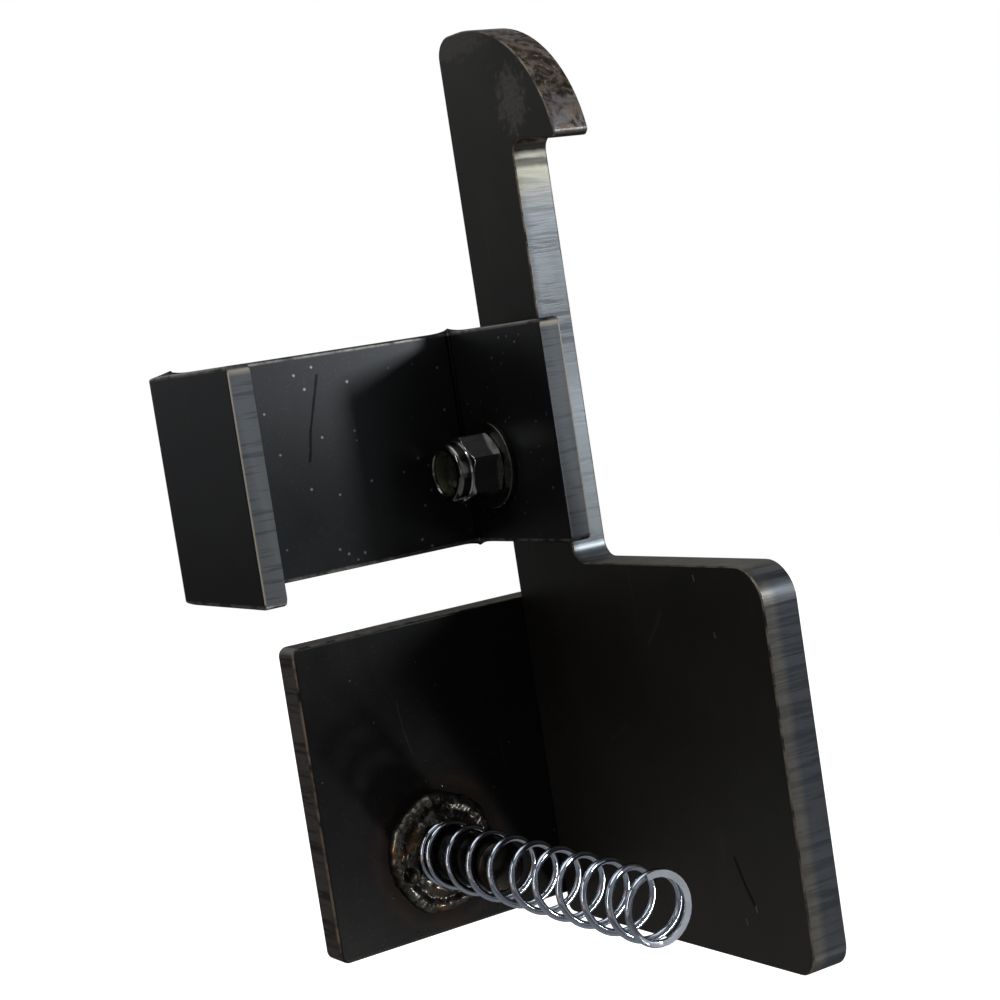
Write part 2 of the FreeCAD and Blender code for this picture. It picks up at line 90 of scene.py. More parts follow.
# ---- Node trees ----
class Graph:
    """Adds nodes to one tree and joins them, from left to right."""

    def __init__(self, tree: bpy.types.NodeTree) -> None:
        """Work on this tree.

        Args:
            tree: A material's, a world's or a group's node tree.
        """
        self.tree = tree

    def add(self, kind: str, inputs: dict | None = None, **settings: object) -> bpy.types.Node:
        """Add a node.

        Args:
            kind: The node's type name in Blender.
            inputs: Sockets or constants for its inputs, by name or number.
            **settings: Properties of the node.

        Returns:
            The new node.
        """
        node = self.tree.nodes.new(kind)
        for name, value in settings.items():
            setattr(node, name, value)
        for key, value in (inputs or {}).items():
            self.feed(node.inputs[key], value)
        return node

    def feed(self, socket: Socket, value: object) -> None:
        """Link a socket into an input, or set the input to a constant."""
        if isinstance(value, Socket):
            self.tree.links.new(value, socket)
        elif socket.type == "RGBA" and len(value) == 3:
            socket.default_value = (*value, 1.0)
        else:
            socket.default_value = value

    def math(self, operation: str, first: Number, second: Number = 0.0, third: Number = 0.0,
             clamp: bool = False) -> Socket:
        """One step of arithmetic.

        Args:
            operation: The step, such as ADD or MULTIPLY.
            first: First number or socket.
            second: Second number or socket.
            third: Third number or socket, where the step has one.
            clamp: Whether the result is held between 0 and 1.

        Returns:
            The result's socket.
        """
        node = self.add("ShaderNodeMath", {0: first, 1: second, 2: third},
                        operation=operation, use_clamp=clamp)
        return node.outputs[0]

    def times(self, first: Number, second: Number) -> Socket:
        """The product of two numbers."""
        return self.math("MULTIPLY", first, second)

    def vector(self, operation: str, first: object, second: object = (0.0, 0.0, 0.0)) -> Socket:
        """One step of vector arithmetic.

        Args:
            operation: The step, such as ADD or MULTIPLY.
            first: First vector or socket.
            second: Second vector or socket.

        Returns:
            The result's socket, a number for LENGTH and DISTANCE.
        """
        node = self.add("ShaderNodeVectorMath", {0: first, 1: second}, operation=operation)
        return node.outputs["Value" if operation in ("LENGTH", "DISTANCE", "DOT_PRODUCT") else "Vector"]

    def split(self, vector: Socket) -> tuple[Socket, ...]:
        """The three numbers of a vector."""
        return tuple(self.add("ShaderNodeSeparateXYZ", {0: vector}).outputs)

    def step(self, value: Number, start: Number, end: Number, low: Number = 0.0,
             high: Number = 1.0) -> Socket:
        """Rise smoothly from low to high while the value goes from start to end.

        Args:
            value: What is measured.
            start: Where the rise starts.
            end: Where the rise ends.
            low: The result up to the start.
            high: The result from the end on.

        Returns:
            The result's socket.
        """
        node = self.add("ShaderNodeMapRange", {0: value, 1: start, 2: end, 3: low, 4: high},
                        interpolation_type="SMOOTHSTEP")
        return node.outputs[0]

    def mix(self, share: Number, first: object, second: object, blend: str = "MIX") -> Socket:
        """Mix two colours.

        Args:
            share: How much of the second one.
            first: First colour or socket.
            second: Second colour or socket.
            blend: How they are mixed.

        Returns:
            The colour's socket.
        """
        node = self.add("ShaderNodeMix", {0: share, 6: first, 7: second}, data_type="RGBA",
                        blend_type=blend)
        return node.outputs[2]

    def tint(self, colour: object, mask: Socket, share: float, tone: object) -> Socket:
        """Lay a tone over a colour where a mask says.

        Args:
            colour: The colour or socket below.
            mask: Where the tone goes.
            share: How much of it shows there.
            tone: The colour or socket above.

        Returns:
            The colour's socket.
        """
        return self.mix(self.times(mask, share), colour, tone)

    def noise(self, vector: Socket, scale: Number, detail: float = 4.0,
              rough: float = 0.55, warp: float = 0.0) -> Socket:
        """Cloudy noise, about 0.5 on average.

        Args:
            vector: Where it is read.
            scale: Number of clouds in a metre.
            detail: Number of finer layers.
            rough: How strong the finer layers are.
            warp: How far the clouds are bent.

        Returns:
            The noise's socket.
        """
        node = self.add("ShaderNodeTexNoise", {"Vector": vector, "Scale": scale, "Detail": detail,
                                               "Roughness": rough, "Distortion": warp})
        return node.outputs[0]

    def group(self, group: bpy.types.NodeTree, **inputs: object) -> bpy.types.Node:
        """Place a node group, with its inputs given by name, blanks as underscores.

        Args:
            group: The group.
            **inputs: Sockets or constants.

        Returns:
            The group's node.
        """
        kind = "ShaderNodeGroup" if self.tree.bl_idname == "ShaderNodeTree" else "GeometryNodeGroup"
        node = self.tree.nodes.new(kind)
        node.node_tree = group
        for name, value in inputs.items():
            self.feed(node.inputs[name.replace("_", " ")], value)
        return node


def new_group(name: str, kind: str, inputs: Sequence[tuple], outputs: Sequence[tuple]) -> tuple:
    """Start a node group with named sockets.

    Args:
        name: The group's name.
        kind: The tree's type name in Blender.
        inputs: Name, kind of socket and usual value of each input.
        outputs: Name and kind of socket of each output.

    Returns:
        The graph, the sockets that hold its inputs and the sockets that take its outputs.
    """
    tree = bpy.data.node_groups.new(name, kind)
    for label, sort, usual in inputs:
        socket = tree.interface.new_socket(label, in_out="INPUT", socket_type="NodeSocket" + sort)
        if usual is not None:
            socket.default_value = usual
    for label, sort in outputs:
        tree.interface.new_socket(label, in_out="OUTPUT", socket_type="NodeSocket" + sort)
    graph = Graph(tree)
    return graph, graph.add("NodeGroupInput").outputs, graph.add("NodeGroupOutput").inputs


def finish_instances(g: Graph, geometry: Socket, finish: Socket,
                     give: Sequence[Socket]) -> bpy.types.NodeTree:
    """End a geometry tree: make its instances real and give them their finish.

    Args:
        g: The tree's graph.
        geometry: What the tree makes.
        finish: The material.
        give: The sockets that take the tree's outputs.

    Returns:
        The tree.
    """
    real = g.add("GeometryNodeRealizeInstances", {0: geometry})
    done = g.add("GeometryNodeSetMaterial", {"Geometry": real.outputs[0], "Material": finish})
    g.feed(give[0], done.outputs[0])
    return g.tree


# ---- Shared effects on the surfaces ----
class Effects:
    """The node groups that more than one finish uses, each built once."""

    def __init__(self) -> None:
        """Build every group."""
        self.mill_scale = self._mill_scale()
        self.cut_lines = self._cut_lines()
        self.scratches = self._scratches()
        self.specks = self._specks()
        self.rim = self._rim()
        self.patch = self._patch()
        self.stroke = self._stroke()

    @staticmethod
    def _mill_scale() -> bpy.types.NodeTree:
        """Cloudy patches, fine grain and slow waves of a hot-rolled face."""
        g, take, give = new_group(
            "mill_scale", "ShaderNodeTree",
            [("Vector", "Vector", None), ("Patch Scale", "Float", 40.0), ("Grain Scale", "Float", 1500.0)],
            [("Patches", "Float"), ("Grain", "Float"), ("Height", "Float")])
        patches = g.noise(take["Vector"], take["Patch Scale"], 6.0, 0.62, 0.4)
        grain = g.noise(take["Vector"], take["Grain Scale"], 3.0, 0.6)
        waves = g.noise(take["Vector"], 40.0, 2.0, 0.4)
        pits = g.add("ShaderNodeTexVoronoi", {"Vector": take["Vector"], "Scale": 700.0}).outputs[0]
        height = g.math("MULTIPLY_ADD", grain, 0.35, g.times(waves, 1.2))
        height = g.math("MULTIPLY_ADD", g.step(pits, 0.0, 0.22), 0.12, height)
        g.feed(give["Patches"], g.step(patches, 0.3, 0.7))
        g.feed(give["Grain"], grain)
        g.feed(give["Height"], height)
        return g.tree

    @staticmethod
    def _cut_lines() -> bpy.types.NodeTree:
        """Fine lines across the thickness of a cut edge."""
        g, take, give = new_group(
            "cut_lines", "ShaderNodeTree",
            [("Vector", "Vector", None), ("Stretch", "Vector", (0.06, 1.0, 1.0)),
             ("Line Scale", "Float", 900.0)],
            [("Lines", "Float"), ("Clouds", "Float")])
        stretched = g.vector("MULTIPLY", take["Vector"], take["Stretch"])
        coarse = g.noise(stretched, g.times(take["Line Scale"], 0.33), 3.0, 0.7)
        fine = g.noise(stretched, take["Line Scale"], 3.0, 0.75)
        lines = g.math("MULTIPLY_ADD", coarse, 0.6, g.times(fine, 0.4))
        g.feed(give["Lines"], g.step(lines, 0.38, 0.62))
        g.feed(give["Clouds"], g.step(g.noise(take["Vector"], 90.0, 4.0), 0.35, 0.65))
        return g.tree

    @staticmethod
    def _scratches() -> bpy.types.NodeTree:
        """Hair-thin bent scratches, few and unevenly spread."""
        g, take, give = new_group(
            "scratches", "ShaderNodeTree",
            [("Vector", "Vector", None), ("Stretch", "Vector", (1.0, 1.0, 0.12)), ("Scale", "Float", 60.0),
             ("Width", "Float", 0.012), ("Spread", "Float", 0.56)],
            [("Mask", "Float")])
        bent = g.add("ShaderNodeTexNoise", {"Vector": take["Vector"], "Scale": 18.0}).outputs[1]
        moved = g.vector("ADD", take["Vector"], g.vector("MULTIPLY", bent, (0.02, 0.02, 0.02)))
        stretched = g.vector("MULTIPLY", moved, take["Stretch"])
        cells = g.add("ShaderNodeTexVoronoi", {"Vector": stretched, "Scale": take["Scale"]},
                      feature="DISTANCE_TO_EDGE").outputs[0]
        line = g.step(cells, take["Width"], 0.0)
        where = g.noise(take["Vector"], 45.0, 2.0)
        g.feed(give["Mask"], g.times(line, g.step(
            where, take["Spread"], g.math("ADD", take["Spread"], 0.06))))
        return g.tree

    @staticmethod
    def _specks() -> bpy.types.NodeTree:
        """Specks of dust or rust, each a little different in size."""
        g, take, give = new_group(
            "specks", "ShaderNodeTree",
            [("Vector", "Vector", None), ("Scale", "Float", 500.0), ("Size", "Float", 0.16),
             ("Share", "Float", 0.2)],
            [("Mask", "Float")])
        cells = g.add("ShaderNodeTexVoronoi", {"Vector": take["Vector"], "Scale": take["Scale"]})
        chance = g.add("ShaderNodeSeparateColor", {0: cells.outputs[1]}).outputs
        kept = g.math("LESS_THAN", chance[0], take["Share"])
        size = g.times(take["Size"], g.math("MULTIPLY_ADD", chance[1], 0.9, 0.35))
        g.feed(give["Mask"], g.times(kept, g.step(
            cells.outputs[0], size, g.times(size, 0.4))))
        return g.tree

    @staticmethod
    def _rim() -> bpy.types.NodeTree:
        """Tell a plate's broad faces, its arrises and its cut edges apart by depth."""
        g, take, give = new_group(
            "rim", "ShaderNodeTree",
            [("Depth", "Float", 0.0), ("Low", "Float", 0.0), ("High", "Float", 0.01),
             ("Bevel", "Float", 0.0004)],
            [("Edge", "Float"), ("Arris", "Float")])
        inward = g.math("MINIMUM", g.math("SUBTRACT", take["Depth"], take["Low"]),
                        g.math("SUBTRACT", take["High"], take["Depth"]))
        bevel = take["Bevel"]
        edge = g.step(inward, g.times(bevel, 0.9), g.times(bevel, 1.5))
        rim = g.step(inward, g.times(bevel, 0.05), g.times(bevel, 0.3))
        g.feed(give["Edge"], edge)
        g.feed(give["Arris"], g.math("SUBTRACT", rim, edge))
        return g.tree

    @staticmethod
    def _patch() -> bpy.types.NodeTree:
        """A ragged patch round one point, such as a worn or heated place."""
        g, take, give = new_group(
            "patch", "ShaderNodeTree",
            [("Vector", "Vector", None), ("Centre", "Vector", (0.0, 0.0, 0.0)),
             ("Squeeze", "Vector", (1.0, 1.0, 1.0)), ("Radius", "Float", 0.01),
             ("Ragged", "Float", 0.6), ("Scale", "Float", 300.0)],
            [("Mask", "Float")])
        offset = g.vector("MULTIPLY", g.vector("SUBTRACT", take["Vector"], take["Centre"]),
                          take["Squeeze"])
        share = g.math("DIVIDE", g.vector("LENGTH", offset), take["Radius"])
        cloud = g.math("SUBTRACT", g.noise(take["Vector"], take["Scale"], 5.0, 0.65), 0.5)
        g.feed(give["Mask"], g.step(g.math("MULTIPLY_ADD", cloud, g.math(
            "MULTIPLY", take["Ragged"], 2.0), share), 1.0, 0.55))
        return g.tree

    @staticmethod
    def _stroke() -> bpy.types.NodeTree:
        """One bent scratch from point to point, thicker in places."""
        g, take, give = new_group(
            "stroke", "ShaderNodeTree",
            [("Vector", "Vector", None), ("Start", "Vector", (0.0, 0.0, 0.0)),
             ("End", "Vector", (0.0, 0.0, 0.01)), ("Width", "Float", 0.0003),
             ("Bend", "Vector", (0.0, 0.003, 0.003))],
            [("Mask", "Float")])
        bent = g.add("ShaderNodeTexNoise", {"Vector": take["Vector"], "Scale": 45.0}).outputs[1]
        shift = g.vector("MULTIPLY", g.vector("SUBTRACT", bent, (0.5, 0.5, 0.5)), take["Bend"])
        moved = g.vector("ADD", take["Vector"], shift)
        run = g.vector("SUBTRACT", take["End"], take["Start"])
        share = g.math("DIVIDE", g.vector("DOT_PRODUCT", g.vector("SUBTRACT", moved, take["Start"]), run),
                       g.vector("DOT_PRODUCT", run, run), clamp=True)
        nearest = g.vector("ADD", take["Start"], g.vector("MULTIPLY", run, share))
        width = g.times(take["Width"], g.math("ADD", g.noise(take["Vector"], 500.0, 3.0), 0.3))
        g.feed(give["Mask"], g.step(
            g.vector("DISTANCE", moved, nearest), width, g.times(width, 0.4)))
        return g.tree


# ---- Finishes ----
def new_material(name: str) -> tuple[bpy.types.Material, Graph, bpy.types.Node, Socket]:
    """Start a material.

    Args:
        name: The material's name.

    Returns:
        The material, its graph, its surface node and its object coordinates.
    """
    material = bpy.data.materials.new(name)
    material.use_nodes = True
    material.node_tree.nodes.clear()
    graph = Graph(material.node_tree)
    surface = graph.add("ShaderNodeBsdfPrincipled")
    graph.add("ShaderNodeOutputMaterial", {0: surface.outputs[0]})
    return material, graph, surface, graph.add("ShaderNodeTexCoord").outputs["Object"]


def roughen(graph: Graph, surface: bpy.types.Node, height: Socket, depth: float,
            strength: float = 1.0) -> None:
    """Give the surface a bump.

    Args:
        graph: The material's graph.
        surface: The material's surface node.
        height: The height, in units of the depth.
        depth: How deep one unit is, in metres.
        strength: How much of the bump is shown.
    """
    bump = graph.add("ShaderNodeBump", {"Height": height, "Distance": depth, "Strength": strength})
    graph.feed(surface.inputs["Normal"], bump.outputs[0])


@dataclass(frozen=True)
class PlateFinish:
    """Hot-rolled plate with its dark scale, and bare edges where it was cut."""

    name: str
    axis: Axis
    low: float
    high: float
    bevel: float = 0.35 * MM
    cut_axis: Axis | None = None
    dark: Colour = (0.0255, 0.0247, 0.023)
    light: Colour = (0.0315, 0.0302, 0.028)
    edge_dark: Colour = (0.05, 0.054, 0.058)
    edge_light: Colour = (0.135, 0.146, 0.155)
    arris: Colour = (0.2, 0.17, 0.13)
    face_gloss: tuple[float, float] = (0.3, 0.325)
    edge_gloss: tuple[float, float] = (0.36, 0.45)
    scratched: float = 0.3
    dust: float = 0.025

    def build(self, effects: Effects) -> bpy.types.Material:
        """Make the material.

        Args:
            effects: The shared groups.

        Returns:
            The material.
        """
        material, g, surface, place = new_material(self.name)
        rim = g.group(effects.rim, Depth=g.split(place)[self.axis.value], Low=self.low,
                      High=self.high, Bevel=self.bevel)
        edge, arris = rim.outputs["Edge"], rim.outputs["Arris"]
        bare = self.bare(g, place, edge)
        scale = g.group(effects.mill_scale, Vector=place)
        stretch = [1.0, 1.0, 1.0]
        stretch[(self.cut_axis or self.axis).value] = 0.05
        lines = g.group(effects.cut_lines, Vector=place, Stretch=stretch, Line_Scale=1500.0)
        face_colour = self.face(g, effects, place, scale)
        edge_colour = self.edge(g, effects, place, lines)
        arris_share = g.times(arris, g.step(g.noise(place, 260.0, 3.0), 0.3, 0.62))
        colour = g.mix(edge, face_colour, edge_colour)
        g.feed(surface.inputs["Base Color"], g.mix(arris_share, colour, self.arris))
        face_rough = g.step(scale.outputs["Patches"], 0.0, 1.0, *self.face_gloss)
        face_rough = g.math("MULTIPLY_ADD", scale.outputs["Grain"], 0.1, face_rough)
        edge_rough = g.step(lines.outputs["Lines"], 0.0, 1.0, *self.edge_gloss)
        rough = g.add("ShaderNodeMix", {0: bare, 2: face_rough, 3: edge_rough}).outputs[0]
        g.feed(surface.inputs["Roughness"], rough)
        surface.inputs["Metallic"].default_value = 0.75
        surface.inputs["Specular Tint"].default_value = (0.5, 0.5, 0.5, 1.0)
        face_height = g.times(scale.outputs["Height"], g.math("SUBTRACT", 1.0, bare))
        height = g.math("MULTIPLY_ADD", g.times(lines.outputs["Lines"], bare), 0.5, face_height)
        roughen(g, surface, height, 0.02 * MM)
        return material

    def bare(self, g: Graph, place: Socket, edge: Socket) -> Socket:
        """Mask of the cut metal without scale.

        Args:
            g: The material's graph.
            place: Object coordinates.
            edge: Mask of the edges.

        Returns:
            The mask's socket.
        """
        return edge

    def face(self, g: Graph, effects: Effects, place: Socket,
             scale: bpy.types.Node) -> Socket:
        """Colour of the broad faces.

        Args:
            g: The material's graph.
            effects: The shared groups.
            place: Object coordinates.
            scale: The mill scale's node.

        Returns:
            The colour's socket.
        """
        colour = g.mix(scale.outputs["Patches"], self.dark, self.light)
        scratch = g.group(effects.scratches, Vector=place).outputs[0]
        colour = g.tint(colour, scratch, self.scratched, (0.09, 0.085, 0.08))
        fine = g.group(effects.specks, Vector=place, Scale=1300.0, Size=0.3, Share=0.2).outputs[0]
        colour = g.tint(colour, fine, 0.22, (0.09, 0.085, 0.08))
        dust = g.group(effects.specks, Vector=place, Scale=450.0, Size=0.18, Share=self.dust).outputs[0]
        return g.tint(colour, dust, 0.75, (0.24, 0.23, 0.21))

    def edge(self, g: Graph, effects: Effects, place: Socket,
             lines: bpy.types.Node) -> Socket:
        """Colour of the cut edges.

        Args:
            g: The material's graph.
            effects: The shared groups.
            place: Object coordinates.
            lines: The cut lines' node.

        Returns:
            The colour's socket.
        """
        colour = g.mix(g.step(lines.outputs["Lines"], 0.0, 0.6), self.edge_dark, self.edge_light)
        clouds = g.times(lines.outputs["Clouds"], 0.4)
        return g.mix(clouds, colour, tuple(0.6 * part for part in self.edge_light))


@dataclass(frozen=True)
class LeverFinish(PlateFinish):
    """The lever's plate: rusty and worn on the ramp of its hook, brown on the paddle's top."""

    throat: float = 64.2 * MM
    nose: tuple[float, float, float] = (-0.012, 0.002, 0.066)
    paddle_top: float = -32 * MM
    scuff: tuple[float, float, float] = (-7.4 * MM, -13.1 * MM, 75.3 * MM)
    crown: tuple[float, float, float] = (-7.4 * MM, -33.0 * MM, 92.5 * MM)
    shade: tuple[float, float, float] = (-7.4 * MM, -13.2 * MM, 85.5 * MM)
    gouge: tuple[tuple[float, float, float], ...] = (
        (-7.4 * MM, 29.5 * MM, -97.3 * MM), (-7.4 * MM, 34.3 * MM, -106.6 * MM))
    nicks: tuple[tuple[float, float, float], ...] = (
        (-7.4 * MM, 34.0 * MM, -46.6 * MM), (-7.4 * MM, 29.3 * MM, -34.3 * MM),
        (-7.4 * MM, 34.6 * MM, -107.0 * MM), (-7.4 * MM, 30.6 * MM, -110.4 * MM))

    def edge(self, g: Graph, effects: Effects, place: Socket,
             lines: bpy.types.Node) -> Socket:
        """Colour of the cut edges, which differs along the lever. See PlateFinish.edge."""
        colour = super().edge(g, effects, place, lines)
        deep, along, up = g.split(place)
        # Painted light: the cut edge is lightened from the paddle's top up to about 2 mm, fading out by 22
        # mm, standing in for light on this stretch of the bar's edge.
        pale = g.times(g.step(up, 22 * MM, 2 * MM),
                       g.step(up, self.paddle_top, self.paddle_top + 3 * MM))
        colour = g.tint(colour, pale, 0.6, (0.3, 0.33, 0.35))
        inward = g.math("SUBTRACT", self.high, deep)
        colour = g.mix(g.step(inward, 2.4 * MM, 0.6 * MM, 0.0, 0.55), colour, (0.05, 0.058, 0.062))
        colour = self.ramp(g, effects, place, colour, up)
        colour = self.notch(g, place, colour, up)
        low = g.step(up, self.paddle_top + 1 * MM, self.paddle_top - 8 * MM)
        grey = g.mix(g.noise(place, 70.0, 4.0, 0.6), (0.03, 0.034, 0.041), (0.07, 0.078, 0.088))
        near = g.math("MULTIPLY_ADD", g.noise(place, 120.0, 4.0), 1.6 * MM, inward)
        grey = g.mix(g.step(near, 5.4 * MM, 2.8 * MM, 0.0, 0.85), grey, (0.115, 0.106, 0.092))
        colour = g.tint(colour, low, 0.85, grey)
        top = g.times(g.step(up, self.paddle_top - 1.2 * MM, self.paddle_top - 0.2 * MM),
                      g.step(along, -12 * MM, -8 * MM))
        top = g.times(top, g.step(up, self.paddle_top + 4 * MM, self.paddle_top + 1 * MM))
        brown = g.mix(g.noise(place, 200.0, 4.0), (0.08, 0.07, 0.056), (0.24, 0.21, 0.165))
        return g.tint(colour, top, 0.85, brown)

    def ramp(self, g: Graph, effects: Effects, place: Socket, colour: Socket,
             up: Socket) -> Socket:
        """Add the brown, pitted and worn ramp of the hook.

        Args:
            g: The material's graph.
            effects: The shared groups.
            place: Object coordinates.
            colour: Colour without the ramp.
            up: Height of the place.

        Returns:
            The colour's socket.
        """
        clouds = g.step(g.noise(place, 240.0, 6.0, 0.7, 0.6), 0.41, 0.6)
        rust = g.mix(clouds, (0.035, 0.027, 0.021), (0.2, 0.158, 0.128))
        rust = g.mix(g.step(g.noise(place, 520.0, 4.0, 0.7), 0.56, 0.68), rust, (0.3, 0.27, 0.24))
        spots = g.group(effects.specks, Vector=place, Scale=210.0, Size=0.36, Share=0.4).outputs[0]
        rust = g.tint(rust, spots, 0.85, (0.014, 0.011, 0.01))
        worn = g.group(effects.patch, Vector=place, Centre=self.nose, Radius=10 * MM, Ragged=0.9).outputs[0]
        worn = g.times(worn, g.step(g.noise(place, 420.0, 5.0, 0.7), 0.4, 0.6))
        rust = g.tint(rust, worn, 0.7, (0.2, 0.2, 0.21))
        return g.mix(g.step(up, self.throat + 0.6 * MM, self.throat + 1.6 * MM), colour, rust)

    def notch(self, g: Graph, place: Socket, colour: Socket,
              up: Socket) -> Socket:
        """Add the notch below the hook: yellowish, with a dark band in its corner and painted shade along the
        hook's underside at the throat.

        Args:
            g: The material's graph.
            place: Object coordinates.
            colour: Colour without the notch.
            up: Height of the place.

        Returns:
            The colour's socket.
        """
        below = g.step(up, self.throat + 1.6 * MM, self.throat + 0.8 * MM)
        tint = g.times(g.step(up, self.throat - 16 * MM, self.throat - 4 * MM, 0.0, 0.5), below)
        colour = g.mix(tint, colour, (0.22, 0.2, 0.14))
        uneven = g.math("MULTIPLY_ADD", g.noise(place, 300.0, 3.0), 1.0 * MM, up)
        # Painted shade: a near-black band along the hook's underside at the throat.
        underside_shade = g.times(g.step(uneven, self.throat - 0.1 * MM, self.throat + 0.5 * MM), below)
        corner = g.times(g.step(uneven, self.throat - 4.2 * MM, self.throat - 3.0 * MM),
                         g.step(uneven, self.throat - 1.3 * MM, self.throat - 1.9 * MM))
        colour = g.tint(colour, underside_shade, 0.9, (0.022, 0.02, 0.016))
        return g.tint(colour, corner, 0.85, (0.022, 0.022, 0.018))

    def face(self, g: Graph, effects: Effects, place: Socket,
             scale: bpy.types.Node) -> Socket:
        """Colour of the broad faces, scuffed at the hook and scratched lower down. See PlateFinish.face."""
        colour = super().face(g, effects, place, scale)
        # Lightens the paddle's face towards the bottom.
        rubbed = g.step(g.split(place)[2], self.paddle_top - 10 * MM, self.paddle_top - 90 * MM, 0.0, 0.5)
        colour = g.mix(rubbed, colour, (0.085, 0.082, 0.077))
        for centre, squeeze, radius, share, tone in (
                (self.shade, (0.3, 1.0, 0.8), 9 * MM, 0.5, (0.012, 0.0112, 0.01)),
                (self.crown, (0.3, 0.7, 2.4), 11 * MM, 0.5, (0.085, 0.08, 0.07)),
                (self.scuff, (0.3, 1.1, 0.8), 7 * MM, 0.65, (0.11, 0.104, 0.094))):
            spot = g.group(effects.patch, Vector=place, Centre=centre, Squeeze=squeeze, Radius=radius,
                           Ragged=1.3, Scale=520.0).outputs[0]
            speckle = g.step(g.noise(place, 1500.0, 3.0, 0.7), 0.35, 0.65, 0.4, 1.0)
            colour = g.mix(g.times(g.times(spot, speckle), share), colour, tone)
        gouge = g.group(effects.stroke, Vector=place, Start=self.gouge[0], End=self.gouge[1], Width=0.7 * MM)
        colour = g.tint(colour, gouge.outputs[0], 0.8, (0.002, 0.002, 0.002))
        for nick in self.nicks:
            end = (nick[0], nick[1] + 0.2 * MM, nick[2] - 1.1 * MM)
            mark = g.group(effects.stroke, Vector=place, Start=nick, End=end, Width=0.4 * MM,
                           Bend=(0.0, 1 * MM, 1 * MM))
            colour = g.tint(colour, mark.outputs[0], 0.7, (0.2, 0.2, 0.19))
        return colour


@dataclass(frozen=True)
class PushFinish(PlateFinish):
    """The push plate: heat has browned its scale round the stub's weld."""

    weld_at: tuple[float, float, float] = (0.0, 0.0, 0.0)
    weld_radius: float = 15 * MM

    def face(self, g: Graph, effects: Effects, place: Socket,
             scale: bpy.types.Node) -> Socket:
        """Colour of the broad faces with the heat tint. See PlateFinish.face."""
        colour = super().face(g, effects, place, scale)
        off = g.vector("DISTANCE", place, self.weld_at)
        ring = g.times(g.step(off, self.weld_radius * 1.35, self.weld_radius * 1.08),
                       g.step(g.noise(place, 90.0, 4.0, 0.6), 0.44, 0.64))
        colour = g.tint(colour, ring, 0.38, (0.05, 0.025, 0.012))
        soot = g.step(off, self.weld_radius * 1.2, self.weld_radius * 0.98)
        return g.tint(colour, soot, 0.6, (0.005, 0.005, 0.005))


@dataclass(frozen=True)
class StripFinish(PlateFinish):
    """Hot-rolled strip: its rolled edges keep their scale, its sheared ends are bright."""

    end: float = 0.0
    middle: float = 38 * MM
    inside: float = 36 * MM
    web: float = -44 * MM
    rubbed: Colour = (0.42, 0.37, 0.29)
    gouge: tuple[tuple[float, float, float], ...] = (
        (39.0 * MM, -40.2 * MM, 20.7 * MM), (44.3 * MM, -40.2 * MM, 1.1 * MM))

    def bare(self, g: Graph, place: Socket, edge: Socket) -> Socket:
        """Mask of the sheared ends. See PlateFinish.bare."""
        return g.step(g.split(place)[1], self.end - 0.25 * MM, self.end - 0.1 * MM)

    def face(self, g: Graph, effects: Effects, place: Socket,
             scale: bpy.types.Node) -> Socket:
        """Colour of the rolled edges, at the top and bottom of the strip. See PlateFinish.face."""
        patches = g.step(g.noise(place, 120.0, 4.0), 0.35, 0.65)
        return g.mix(patches, (0.012, 0.012, 0.012), (0.035, 0.034, 0.032))

    def edge(self, g: Graph, effects: Effects, place: Socket,
             lines: bpy.types.Node) -> Socket:
        """Colour between the rolled edges: the broad faces, with painted shade along the inner bend, and the
        sheared ends. See PlateFinish.edge.
        """
        colour = super().face(g, effects, place, g.group(effects.mill_scale, Vector=place))
        gouge = g.group(effects.stroke, Vector=place, Start=self.gouge[0], End=self.gouge[1], Width=0.55 * MM,
                        Bend=(4 * MM, 0.0, 4 * MM))
        colour = g.tint(colour, gouge.outputs[0], 0.9, (0.0012, 0.0012, 0.0012))
        across, deep, up = g.split(place)
        off = g.math("ABSOLUTE", g.math("SUBTRACT", across, self.middle))
        # Painted shade: near-black along the inner bend where the flanges meet the web, in place of its
        # highlight.
        corner = g.times(g.step(off, self.inside - 1.2 * MM, self.inside - 0.5 * MM),
                         g.step(deep, self.web + 1.2 * MM, self.web + 0.5 * MM))
        corner = g.times(corner, g.step(off, self.inside + 1.0 * MM, self.inside + 0.4 * MM))
        colour = g.mix(corner, colour, (0.0008, 0.0008, 0.0008))
        sheared = g.mix(g.step(lines.outputs["Lines"], 0.0, 0.5), self.edge_dark, self.edge_light)
        rim = g.math("MAXIMUM", g.step(off, self.inside + 4.7 * MM, self.inside + 5.1 * MM),
                     g.step(up, self.high - 2.5 * MM, self.high - 1.0 * MM))
        sheared = g.mix(g.times(rim, 0.6), sheared, self.rubbed)
        return g.mix(self.bare(g, place, off), colour, sheared)


@dataclass(frozen=True)
class MetalFinish:
    """Plated or bare metal with fine grain and a little dirt."""

    name: str
    colour: Colour
    dirt: Colour
    gloss: tuple[float, float] = (0.1, 0.22)
    dirt_share: float = 0.35
    grain: Colour = (1.0, 1.0, 1.0)
    grain_scale: float = 1800.0
    depth: float = 0.006 * MM

    def build(self, effects: Effects) -> bpy.types.Material:
        """Make the material.

        Args:
            effects: The shared groups.

        Returns:
            The material.
        """
        material, g, surface, place = new_material(self.name)
        fine = g.noise(g.vector("MULTIPLY", place, self.grain), self.grain_scale, 4.0, 0.65)
        clouds = g.step(g.noise(place, 320.0, 5.0, 0.6), 0.42, 0.68)
        colour = g.mix(g.times(clouds, self.dirt_share), self.colour, self.dirt)
        specks = g.group(effects.specks, Vector=place, Scale=900.0, Size=0.2, Share=0.1).outputs[0]
        colour = g.tint(colour, specks, 0.5, self.dirt)
        g.feed(surface.inputs["Base Color"], colour)
        rough = g.step(g.math("MULTIPLY_ADD", clouds, 0.5, fine), 0.3, 1.1, *self.gloss)
        g.feed(surface.inputs["Roughness"], rough)
        surface.inputs["Metallic"].default_value = 1.0
        roughen(g, surface, fine, self.depth)
        return material


